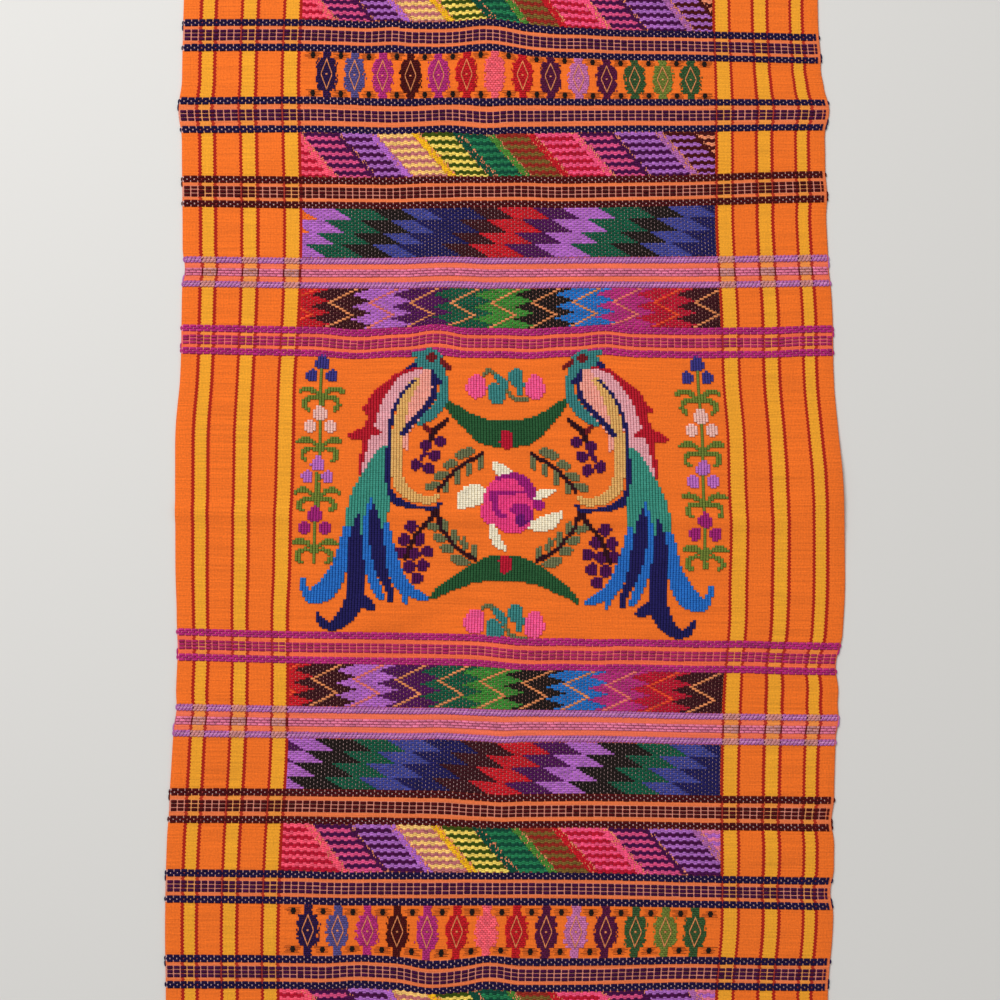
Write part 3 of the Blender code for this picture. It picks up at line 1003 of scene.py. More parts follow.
@dataclass
class GroundCloth:
    """The runner's plain-woven sheet with its stripes, creases, selvedges and hems."""

    cloth: LaidCloth
    tints: Sequence[WeftTint]
    step_across: float = 4.4
    step_along: float = 4.0
    unevenness: float = 0.12

    def columns(self) -> Numbers:
        """The grid's places across."""
        left, panel_left, panel_right, right = self.cloth.flat_across
        width = self.cloth.selvedge_width
        marks = [left, left + 0.8, left + width, panel_left + 0.9, panel_left + 1.5,
                 panel_right - 1.5, panel_right - 0.9, right - width, right - 0.8, right]
        return fill_between(marks, self.step_across)

    def rows(self) -> Numbers:
        """The grid's places along, with a pair at every change of weft, hem and crease."""
        hem = self.cloth.hem_place
        marks = {-hem, hem}
        marks |= {self.cloth.crease_along + self.cloth.crease_reach * share for share in (-1.0, -0.5, 0.0, 0.5, 1.0)}
        for place in (hem - 0.8, hem - self.cloth.hem_depth, hem - self.cloth.hem_depth + self.cloth.hem_slope):
            marks |= {-place, place}
        for tint in self.tints:
            marks |= {tint.low - 0.3, tint.low + 0.3, tint.high - 0.3, tint.high + 0.3}
        return fill_between(sorted(marks), self.step_along)

    def weft_colours(self, across: Numbers, along: Numbers) -> Numbers:
        """The weft's tint at points, as linear colour and strength.

        Args:
            across: Places across.
            along: Places along.

        Returns:
            Four values for each point.
        """
        colours = np.zeros(across.shape + (4,))
        in_panel = (across > self.cloth.flat_across[1] + 1.2) & (across < self.cloth.flat_across[2] - 1.2)
        for tint in self.tints:
            inside = (along > tint.low) & (along < tint.high)
            inside &= in_panel | (not tint.panel_only)
            inside &= across <= self.cloth.flat_across[-1] - tint.right_inset
            colours[inside] = (*linear(tint.colour), tint.strength)
        return colours

    def build(self) -> bpy.types.Object:
        """Build the closed sheet.

        Returns:
            The ground cloth, dressed, with the solid's own part hidden.
        """
        across, along = np.meshgrid(self.columns(), self.rows())
        x, y = self.cloth.place(across, along)
        random = np.random.default_rng(SEED)
        coarse = random.normal(0.0, 1.0, across.shape)
        coarse = (coarse + np.roll(coarse, 1, 0) + np.roll(coarse, 1, 1) + np.roll(coarse, (1, 1), (0, 1))) / 4.0
        under = self.cloth.lift(across, along)
        top = under + self.cloth.ground_rise(across, along) + self.unevenness * coarse
        upper = np.stack([x, y, top], axis=-1).reshape(-1, 3)
        lower = np.stack([x, y, under], axis=-1).reshape(-1, 3)
        points = np.concatenate([upper, lower]) * MM
        faces = closed_sheet_faces(*across.shape)
        piece = mesh_piece("ground_cloth", points, faces)
        flat = np.stack([across, along, np.zeros_like(across)], axis=-1).reshape(-1, 3)
        places = piece.data.attributes.new(name="flat_place", type="FLOAT_VECTOR", domain="POINT")
        places.data.foreach_set("vector", np.concatenate([flat, flat]).astype(np.float32).ravel())
        tints = self.weft_colours(across, along).reshape(-1, 4)
        paint(piece.data, "weft", np.concatenate([tints, tints]))
        planar_map(piece.data, top_share=0.62)
        piece.data.materials.append(GroundFinish().material())
        report_piece(piece)
        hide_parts(NODE)
        return piece


def fill_between(marks: Sequence[float], step: float) -> Numbers:
    """Rising places with even ones added where two lie more than a step apart.

    Args:
        marks: The places to keep, rising.
        step: The longest step.

    Returns:
        All places.
    """
    filled = [marks[0]]
    for mark in marks[1:]:
        gap = mark - filled[-1]
        if gap <= 0.05:
            continue
        count = max(1, math.ceil(gap / step))
        filled += [filled[-1] + gap / count * (index + 1) for index in range(count)]
    filled[-1] = marks[-1]
    return np.array(filled)


def closed_sheet_faces(rows: int, columns: int) -> Numbers:
    """Faces of a closed sheet over two grids of points, the upper one first.

    Args:
        rows: Rows of each grid.
        columns: Columns of each grid.

    Returns:
        The faces, of four points each, all facing out.
    """
    number = np.arange(rows * columns).reshape(rows, columns)
    below = number + rows * columns
    upper = np.stack([number[:-1, :-1], number[:-1, 1:], number[1:, 1:], number[1:, :-1]], axis=-1)
    lower = np.stack([below[:-1, :-1], below[1:, :-1], below[1:, 1:], below[:-1, 1:]], axis=-1)
    rim = np.concatenate([number[0, :-1], number[:-1, -1], number[-1, :0:-1], number[:0:-1, 0]])
    after = np.roll(rim, -1)
    size = rows * columns
    sides = np.stack([rim, rim + size, after + size, after], axis=-1)
    return np.concatenate([upper.reshape(-1, 4), lower.reshape(-1, 4), sides])


@dataclass(frozen=True)
class HeavyRow:
    """One row of a line of heavy weft: where it runs, its yarn and size, and how it is tied."""

    offset: float
    yarn: Yarn
    width: float
    height: float
    shift: float
    gap: float
    tie_pitch: float = 4.46
    skew: float = 0.0

    @property
    def tie(self) -> Tie:
        """How the row is tied down."""
        return Tie(self.tie_pitch, (self.shift,), self.gap)


@dataclass(frozen=True)
class RibKind:
    """One kind of rib band: its thick lines, its thin lines and how its fine weft tints the ground."""

    line: tuple[HeavyRow, ...]
    thin: tuple[HeavyRow, ...]
    loop: Yarn
    between: tuple[int, int, int]
    line_gap: tuple[int, int, int]
    thin_gap: tuple[int, int, int]
    line_reach: float = 2.0
    thin_reach: float = 3.6
    strength: float = 0.75
    over_yellow: tuple[tuple[Yarn, Yarn], ...] = ()
    over_red: tuple[tuple[Yarn, Yarn], ...] = ()


def ring_line(outer: Yarn, inner: Yarn, notch: float, hole: float) -> tuple[HeavyRow, ...]:
    """A thick line that looks like a chain of rings, with notches of one width and holes of another."""
    return (HeavyRow(-1.38, outer, 1.8, 0.95, 0.0, notch), HeavyRow(0.0, inner, 1.5, 1.1, 0.5, hole),
            HeavyRow(1.38, outer, 1.8, 0.95, 0.0, notch))


def ringed(yarn: Yarn, thin: Yarn) -> RibKind:
    """The dark kind: a chain of rings above and below, and three rows of dashes."""
    return RibKind(
        line=ring_line(yarn, yarn, 0.5, 0.7),
        thin=tuple(HeavyRow(offset, thin, 1.98, 0.85, 0.0, 0.55) for offset in (-2.45, 0.0, 2.45)),
        loop=yarn, between=(240, 124, 76), line_gap=(222, 178, 174), thin_gap=(226, 146, 128), line_reach=1.7,
    )


def rope_row(offset: float, yarn: Yarn, shift: float) -> HeavyRow:
    """One row of the orchid rope, of slanting turns."""
    return HeavyRow(offset, yarn, 1.6, 0.9, shift, 0.0, 2.4, 0.75)


ORCHID_KIND = RibKind(
    # The rope's middle row is the paler orchid: a painted highlight along its crown.
    line=(rope_row(-1.2, Yarn.ORCHID, 0.0), rope_row(0.0, Yarn.ORCHID_HIGHLIGHT, 0.3), rope_row(1.2, Yarn.ORCHID, 0.6)),
    thin=tuple(HeavyRow(offset, Yarn.ORCHID_PINK, 1.6, 0.7, shift, 0.12)
               for offset, shift in ((-1.75, 0.0), (0.0, 0.5), (1.75, 0.0))),
    loop=Yarn.ORCHID, between=(248, 116, 92), line_gap=(170, 84, 140), thin_gap=(178, 80, 120), thin_reach=2.5,
    over_yellow=((Yarn.ORCHID, Yarn.ORCHID_TAN), (Yarn.ORCHID_HIGHLIGHT, Yarn.ORCHID_TAN),
                 (Yarn.ORCHID_PINK, Yarn.ORCHID_TAN)),
    over_red=((Yarn.ORCHID_HIGHLIGHT, Yarn.FIGURE_PLUM), (Yarn.ORCHID_PINK, Yarn.EYE_RED)),
)
MAGENTA_KIND = RibKind(
    line=ring_line(Yarn.MAGENTA, Yarn.MAGENTA, 0.4, 0.55),
    thin=tuple(HeavyRow(offset, Yarn.MAGENTA_LINE, 1.7, 0.75, 0.0, 0.45) for offset in (-2.15, 0.0, 2.15)),
    loop=Yarn.MAGENTA, between=(250, 106, 76), line_gap=(240, 128, 156), thin_gap=(240, 112, 118), thin_reach=3.0,
)
NAVY_KIND = ringed(Yarn.RIB_NAVY, Yarn.PLUM_LINE)
BROWN_KIND = ringed(Yarn.BROWN_LINE, Yarn.BROWN_LINE)


@dataclass
class RibBand:
    """Two thick lines of heavy weft with thin ones between them, from selvedge to selvedge."""

    name: str
    place: RibPlace
    kind: RibKind
    works: YarnWorks
    hidden: Callable[[Numbers, Numbers], Numbers]
    left_loop_up: bool = True
    left_inset: float = 0.5
    right_inset: float = 2.2

    def build(self) -> bpy.types.Object:
        """Weave the band and its selvedge loops.

        Returns:
            The finished piece.
        """
        cloth, kind, half = self.works.cloth, self.kind, self.place.half
        low, high = cloth.flat_across[0] + self.left_inset, cloth.flat_across[-1] - self.right_inset
        floats = Floats()
        for middle, rows in ((-half, kind.line), (half, kind.line), (0.0, kind.thin)):
            for row in rows:
                along = self.place.along + middle + row.offset
                ends, yarns = weave_row(low, high, row.tie, 0, 0.77, self._solid(row.yarn, along))
                floats.add(ends, along, row.width, row.height, yarns, row.skew)
        return self.works.piece(self.name, floats, RIB_YARN, loops=self.loops())

    def _solid(self, yarn: Yarn, along: float) -> Callable[[Numbers], Numbers]:
        """One yarn all along a row, changed over the stripes and left out where brocade covers it."""
        over_yellow = dict(self.kind.over_yellow).get(yarn, yarn)
        over_red = dict(self.kind.over_red).get(yarn)
        edges = np.array(GroundFinish.stripe_edges)

        def at(across: Numbers) -> Numbers:
            """The yarn numbers at places across."""
            on_yellow = np.searchsorted(edges, across) % 2 == 1
            found = np.where(on_yellow, YARN_NUMBER[over_yellow], YARN_NUMBER[yarn])
            if over_red:
                on_red = np.abs(across[:, None] - edges).min(axis=1) < 0.5
                found = np.where(on_red, YARN_NUMBER[over_red], found)
            return np.where(self.hidden(across, np.full(across.shape, along)), NO_YARN, found)

        return at

    def loops(self) -> list[tuple[Numbers, Numbers, Numbers]]:
        """The heavy weft's turns at both selvedges, from a thick line to the thin ones."""
        cloth, outer, inner = self.works.cloth, self.place.half - 1.2, self.kind.thin_reach - 0.6
        made = []
        for side, edge, up in ((-1.0, cloth.flat_across[0], self.left_loop_up),
                               (1.0, cloth.flat_across[-1], not self.left_loop_up)):
            low, high = (inner, outer) if up else (-outer, -inner)
            turns = [(low, high)] + [(place - 1.3, place + 1.3) for place in (-self.place.half, self.place.half)]
            for start, end in turns:
                made.append(selvedge_loop(cloth, edge, side, self.place.along + start,
                                          self.place.along + end, self.kind.loop))
        return made

    def tints(self) -> list[WeftTint]:
        """What the band's own fine weft does to the ground."""
        middle, half, kind = self.place.along, self.place.half, self.kind
        found = [WeftTint(middle - half - 2.3, middle + half + 2.3, kind.between, kind.strength)]
        for place, reach, gap, strength in ((-half, kind.line_reach, kind.line_gap, 1.0),
                                            (0.0, kind.thin_reach, kind.thin_gap, 0.9),
                                            (half, kind.line_reach, kind.line_gap, 1.0)):
            found.append(WeftTint(middle + place - reach, middle + place + reach, gap, strength,
                                  right_inset=self.right_inset + 1.0))
        return found


def selvedge_loop(cloth: LaidCloth, edge: float, side: float, low: float, high: float,
                  yarn: Yarn) -> tuple[Numbers, Numbers, Numbers]:
    """A short turn of yarn round a selvedge, as a closed tube.

    Args:
        cloth: How the cloth lies.
        edge: The selvedge's place across.
        side: Which way is out, -1 or 1.
        low: The lower line's place along.
        high: The upper line's place along.
        yarn: Its yarn.

    Returns:
        Its points in metres, its triangles and its colours.
    """
    bulge, radius, steps, sides = 0.75, 0.62, 7, 6
    turn = np.linspace(0.0, np.pi, steps)
    across = edge + side * (np.sin(turn) ** 0.5 * bulge - 0.55)
    along = (low + high) / 2.0 - np.cos(turn) * (high - low) / 2.0
    x, y = cloth.place(np.clip(across, *cloth.flat_across[::3]), along)
    x = x + (across - np.clip(across, *cloth.flat_across[::3]))
    z = cloth.lift(across, along) + radius * 0.95
    middles = np.stack([x, y, z], axis=-1)
    thick = radius * np.sqrt(np.clip(np.sin(np.linspace(0.12, np.pi - 0.12, steps)), 0.1, 1.0))
    heading = np.gradient(middles, axis=0)
    heading /= np.linalg.norm(heading, axis=1, keepdims=True)
    up = np.array([0.0, 0.0, 1.0])
    out = np.cross(heading, up)
    around = np.linspace(0.0, 2.0 * np.pi, sides, endpoint=False)
    rings = (middles[:, None] + thick[:, None, None]
             * (np.cos(around)[None, :, None] * out[:, None] + np.sin(around)[None, :, None] * up))
    points = np.concatenate([rings.reshape(-1, 3), middles[:1], middles[-1:]]) * MM
    faces = []
    for step in range(steps - 1):
        for spoke in range(sides):
            after = (spoke + 1) % sides
            a, b = step * sides + spoke, step * sides + after
            faces += [(a, b, b + sides), (a, b + sides, a + sides)]
    start, end = steps * sides, steps * sides + 1
    for spoke in range(sides):
        after = (spoke + 1) % sides
        faces += [(start, after, spoke), (end, (steps - 1) * sides + spoke, (steps - 1) * sides + after)]
    colours = np.tile(YARN_LINEAR[YARN_NUMBER[yarn]], (len(points), 1))
    return points, outward(points, np.array(faces)), colours


def outward(points: Numbers, faces: Numbers) -> Numbers:
    """The same triangles of a closed tube, turned over if they enclose it inside out."""
    a, b, c = (points[faces[:, corner]] for corner in range(3))
    volume = np.einsum("ij,ij->", a, np.cross(b, c))
    return faces if volume > 0.0 else faces[:, ::-1]


@dataclass
class BrocadeBand:
    """A band of brocade across the panel, from the thick line above it to the one below."""

    name: str
    top: float
    bottom: float
    works: YarnWorks
    row_pitch: float = 1.26
    step: float = 0.77
    tie: Tie = BROCADE_TIE
    width: float = 1.5
    height: float = 0.75
    tint: tuple[float, float, float] = (255, 224, 204)
    tint_strength: float = 0.85

    def yarn_at(self, across: Numbers, depth: float, row: int) -> Numbers:
        """The yarn numbers at places across, a depth below the band's top."""
        raise NotImplementedError

    def build(self) -> bpy.types.Object:
        """Weave the band row by row from its top.

        Returns:
            The finished piece.
        """
        cloth = self.works.cloth
        low, high = cloth.flat_across[1] + 1.0, cloth.flat_across[2] - 1.0
        count = max(1, round((self.top - self.bottom) / self.row_pitch))
        pitch = (self.top - self.bottom) / count
        floats = Floats()
        for row in range(count):
            depth = (row + 0.5) * pitch
            ends, yarns = weave_row(low, high, self.tie, row, self.step,
                                    lambda across, d=depth, r=row: self.yarn_at(across, d, r))
            if len(ends):
                place = self.top - depth + self.sway(ends.mean(axis=1))
                floats.add(ends, place, self.width * pitch / self.row_pitch, self.height + self.proud(yarns), yarns)
        floats.parts += self.trimmings().parts
        return self.works.piece(self.name, floats, BROCADE_YARN)

    def sway(self, across: Numbers) -> Numbers:
        """How far floats lie above their row, by their middles."""
        return np.zeros(across.shape)

    def proud(self, yarns: Numbers) -> Numbers:
        """How much higher than the others the floats of some yarns stand."""
        return np.zeros(yarns.shape)

    def trimmings(self) -> Floats:
        """What is laid over the band's rows."""
        return Floats()

    def tints(self) -> list[WeftTint]:
        """The pale weft that shows between the floats."""
        return [WeftTint(self.bottom, self.top, self.tint, self.tint_strength, panel_only=True)]


@dataclass
class DiagonalBand(BrocadeBand):
    """Slanting stripes with wavy rows of two yarns between them."""

    starts: tuple[float, ...] = ()
    stripes: tuple[Yarn, ...] = ()
    waves: tuple[tuple[Yarn, Yarn], ...] = ()
    slope: float = 0.87
    stripe_width: float = 5.6
    dark_width: float = 3.3
    edge_reach: float = 1.1
    rows_of_a_wave: int = 2
    row_pitch: float = 1.2
    tie: Tie = WAVE_TIE
    width: float = 1.55
    height: float = 0.85
    tint: tuple[float, float, float] = (246, 146, 104)
    step: float = 0.5675
    sway_height: float = 0.42
    fleck: float = 0.09
    edge_fleck: float = 0.3
    dark: tuple[Yarn, ...] = (Yarn.DARK_PURPLE, Yarn.BROWN_LINE)
    thick: tuple[Yarn, ...] = (Yarn.DARK_PURPLE, Yarn.BROWN_LINE, Yarn.CRIMSON, Yarn.DARK_OLIVE)

    def sway(self, across: Numbers) -> Numbers:
        """How far floats lie above their row: by turns up and down, so the rows wave."""
        return self.sway_height * np.sin(np.pi * across / self.tie.pitch)

    def proud(self, yarns: Numbers) -> Numbers:
        """How much higher the floats of the thicker dark yarns stand."""
        return 0.13 * np.isin(yarns, [YARN_NUMBER[yarn] for yarn in self.thick])

    def yarn_at(self, across: Numbers, depth: float, row: int) -> Numbers:
        """A stripe's yarn near each start, with flecks along its edge, and by turns two yarns up to the next."""
        moved = across - self.slope * depth
        starts = np.array(self.starts)
        block = np.searchsorted(starts, moved, side="right") - 1
        held = np.maximum(block, 0)
        turn = (row // self.rows_of_a_wave) % 2
        stripes = np.array([YARN_NUMBER[yarn] for yarn in self.stripes])
        waves = np.array([YARN_NUMBER[pair[turn]] for pair in self.waves])
        dark = np.isin(stripes, [YARN_NUMBER[yarn] for yarn in self.dark])[held]
        past = moved - starts[held] - np.where(dark, self.dark_width, self.stripe_width)
        found = np.where((past < 0.0) & (block >= 0), stripes[held], waves[block + 1])
        chance = np.where(np.abs(past) < self.edge_reach, self.edge_fleck,
                          np.where(dark | (past > 0.0), 0.0, self.fleck))
        flecked = (self.works.random.random(len(across)) < chance) & (block >= 0)
        return np.where(flecked, YARN_NUMBER[Yarn.FLECK], found)


@dataclass
class FlameBand(BrocadeBand):
    """Four rows of long slanting flames, each row stepped back from the one above."""

    edges: tuple[float, ...] = ()
    yarns: tuple[Yarn, ...] = ()
    behind: Yarn = Yarn.GROUND
    tint: tuple[float, float, float] = (206, 182, 184)
    teeth: int = 4
    step_back: float = 6.0
    reach: float = 13.4

    def yarn_at(self, across: Numbers, depth: float, row: int) -> Numbers:
        """The flame that holds each place."""
        tooth, share = divmod(depth / (self.top - self.bottom) * self.teeth, 1.0)
        moved = across + self.step_back * tooth - self.reach * share
        block = np.searchsorted(np.array(self.edges), moved, side="right")
        numbers = np.array([YARN_NUMBER[yarn] for yarn in (self.behind, *self.yarns)])
        return numbers[block]


@dataclass
class ZigzagBand(BrocadeBand):
    """Colours that meet in teeth, with a fine zigzag line down the middle of each."""

    first: float = -117.5
    pitch: float = 26.5
    yarns: tuple[Yarn, ...] = ()
    step: float = 0.5
    tint: tuple[float, float, float] = (214, 158, 146)
    tooth_pitch: float = 7.7
    tooth_reach: float = 6.6
    half_line: float = 7.8
    line_shares: tuple[float, ...] = (0.0, 0.36, 0.68, 1.0)
    line_bends: tuple[float, ...] = (18.5, 0.0, 15.2, -1.5)
    line_half: float = 1.5
    line_yarns: tuple[tuple[Yarn, Yarn], ...] = (
        (Yarn.RED, Yarn.CORAL_LINE), (Yarn.CRIMSON, Yarn.CORAL_LINE), (Yarn.LILAC, Yarn.SALMON),
        (Yarn.FIGURE_PINK, Yarn.SALMON),
    )

    def yarn_at(self, across: Numbers, depth: float, row: int) -> Numbers:
        """The colour at each place, stepped in teeth."""
        wave = 2.0 * abs((depth / self.tooth_pitch) % 1.0 - 0.5) * 2.0 - 1.0
        colour_edge = across - self.first - self.half_line - self.pitch / 2.0 - self.tooth_reach * wave
        block = np.floor(colour_edge / self.pitch).astype(int) + 2
        numbers = np.array([YARN_NUMBER[yarn] for yarn in self.yarns])
        return numbers[np.clip(block, 0, len(numbers) - 1)]

    def trimmings(self) -> Floats:
        """The zigzag lines, each of short stitches that step from row to row."""
        floats = Floats()
        panel_low, panel_high = self.works.cloth.flat_across[1:3]
        height = self.top - self.bottom
        lines = self.first + self.pitch * np.arange(-1, len(self.yarns) - 1)
        chosen = [YARN_NUMBER[dict(self.line_yarns).get(yarn, Yarn.TAN)] for yarn in self.yarns]
        count = round(height / self.row_pitch)
        for row in range(count):
            share = (row + 0.5) / count
            middles = lines + np.interp(share, self.line_shares, self.line_bends)
            middles = middles + self.works.random.uniform(-0.25, 0.25, len(lines))
            ends = np.column_stack([middles - self.line_half, middles + self.line_half])
            ends = np.clip(ends, panel_low + 1.0, panel_high - 1.0)
            inside = ends[:, 1] - ends[:, 0] > 0.7
            floats.add(ends[inside], self.top - share * height, 1.35, 1.15, np.array(chosen)[inside])
        return floats


@dataclass
class FigureBand(BrocadeBand):
    """A row of serrated ovals with fine diamonds in them, and dots between."""

    first: float = -118.3
    pitch: float = 18.45
    yarns: tuple[Yarn, ...] = ()
    plain: int = 6
    tie: Tie = FIGURE_TIE
    row_pitch: float = 1.25
    width: float = 1.42
    tint_strength: float = 0.0
    half_width: float = 8.0
    shoulder: float = 5.0
    foot: float = 9.8
    foot_half_width: float = 6.3
    neck: float = 3.0
    notch: float = 2.2
    diamond_half_width: float = 3.7
    diamond_half_height: float = 9.2
    dot_rows: tuple[tuple[float, float], ...] = ((-1.2, 2.2), (0.0, 3.3), (1.2, 2.4))
    dot_from_middle: float = 11.7
    streaks: int = 5

    def yarn_at(self, across: Numbers, depth: float, row: int) -> Numbers:
        """The figure at each place, or nothing."""
        away = abs(depth - (self.top - self.bottom) / 2.0)
        index = np.clip(np.round((across - self.first) / self.pitch).astype(int), 0, len(self.yarns) - 1)
        beside = across - (self.first + index * self.pitch)
        half = np.interp(away, (self.shoulder, self.foot), (self.half_width, self.foot_half_width))
        ragged = self.works.random.uniform(0.0, self.notch, across.shape) + 0.5 * ((row // 2) % 2)
        half = half - ragged if away < self.foot else self.neck - 0.35 * ragged
        numbers = np.array([YARN_NUMBER[yarn] for yarn in self.yarns])
        return np.where(np.abs(beside) < half, numbers[index], NO_YARN)

    def trimmings(self) -> Floats:
        """The fine diamonds, the dark dots and the thin streaks beside the dots."""
        floats = Floats()
        middle = (self.top + self.bottom) / 2.0
        for index in range(len(self.yarns)):
            if index != self.plain:
                self._diamond(floats, self.first + index * self.pitch, middle)
        gaps = self.first + self.pitch * (np.arange(len(self.yarns) + 1) - 0.5)
        for side in (-1.0, 1.0):
            for offset, length in self.dot_rows:
                ends = np.column_stack([gaps - length / 2.0, gaps + length / 2.0])
                floats.add(ends, middle + side * self.dot_from_middle + offset, 1.5, 0.95,
                           np.full(len(gaps), YARN_NUMBER[Yarn.BLACK]))
            for streak in range(self.streaks):
                place = middle + side * (self.dot_from_middle + (streak - (self.streaks - 1) / 2.0) * 0.95)
                reach = self.works.random.uniform(3.0, 6.0, (2, len(gaps)))
                ends = np.column_stack([gaps - reach[0], gaps + reach[1]])
                floats.add(ends, place, 0.5, 0.32, np.full(len(gaps), YARN_NUMBER[Yarn.THREAD_BROWN]))
        return floats

    def _diamond(self, floats: Floats, across: float, middle: float) -> None:
        """Add one diamond of slanting stitches, and its centre, to the trimmings."""
        tan = YARN_NUMBER[Yarn.TAN]
        cuts = np.linspace(0.0, 1.0, 5)
        for side in (-1.0, 1.0):
            for start, end in zip(cuts[:-1], cuts[1:]):
                outer, inner = self.diamond_half_width * (1.0 - start), self.diamond_half_width * (1.0 - end)
                low, high = self.diamond_half_height * start, self.diamond_half_height * end
                for flip in (-1.0, 1.0):
                    ends = np.sort([across + flip * outer, across + flip * inner])[None]
                    floats.add(ends, middle + side * (low + high) / 2.0, 2.2, 1.25, np.array([tan]),
                               -flip * side * (high - low))
        floats.add(np.array([[across - 0.7, across + 0.7]]), middle, 1.3, 1.15, np.array([tan]))


Point = tuple[float, float, float]


@dataclass(frozen=True)
class Stroke:
    """A drawn band of yarn: a smooth route of places across, along and widths."""

    yarn: Yarn
    route: tuple[Point, ...]
    steps: int = 9

    def covers(self, across: Numbers, along: Numbers) -> Numbers:
        """Which places the stroke covers."""
        points = np.array(self.route)
        knots = np.arange(len(points), dtype=float)
        at = np.linspace(0.0, len(points) - 1.0, (len(points) - 1) * self.steps + 1)
        x, y, width = (smooth(knots, points[:, column], at) for column in range(3))
        gaps = np.hypot(across[..., None] - x, along[..., None] - y)
        return (gaps <= width / 2.0).any(axis=-1)

    def mirrored(self, line: float) -> "Stroke":
        """The same stroke on the other side of a line along the cloth."""
        return replace(self, route=tuple((2.0 * line - x, y, w) for x, y, w in self.route))

    def moved(self, across: float, along: float) -> "Stroke":
        """The same stroke somewhere else."""
        return replace(self, route=tuple((x + across, y + along, w) for x, y, w in self.route))


@dataclass(frozen=True)
class Oval:
    """A drawn oval of yarn."""

    yarn: Yarn
    across: float
    along: float
    half_across: float
    half_along: float
    turn: float = 0.0

    def covers(self, across: Numbers, along: Numbers) -> Numbers:
        """Which places the oval covers."""
        turn = math.radians(self.turn)
        dx, dy = across - self.across, along - self.along
        u = (dx * math.cos(turn) + dy * math.sin(turn)) / self.half_across
        v = (dy * math.cos(turn) - dx * math.sin(turn)) / self.half_along
        return u * u + v * v <= 1.0

    def mirrored(self, line: float) -> "Oval":
        """The same oval on the other side of a line along the cloth."""
        return replace(self, across=2.0 * line - self.across, turn=-self.turn)

    def moved(self, across: float, along: float) -> "Oval":
        """The same oval somewhere else."""
        return replace(self, across=self.across + across, along=self.along + along)


Shape = Stroke | Oval


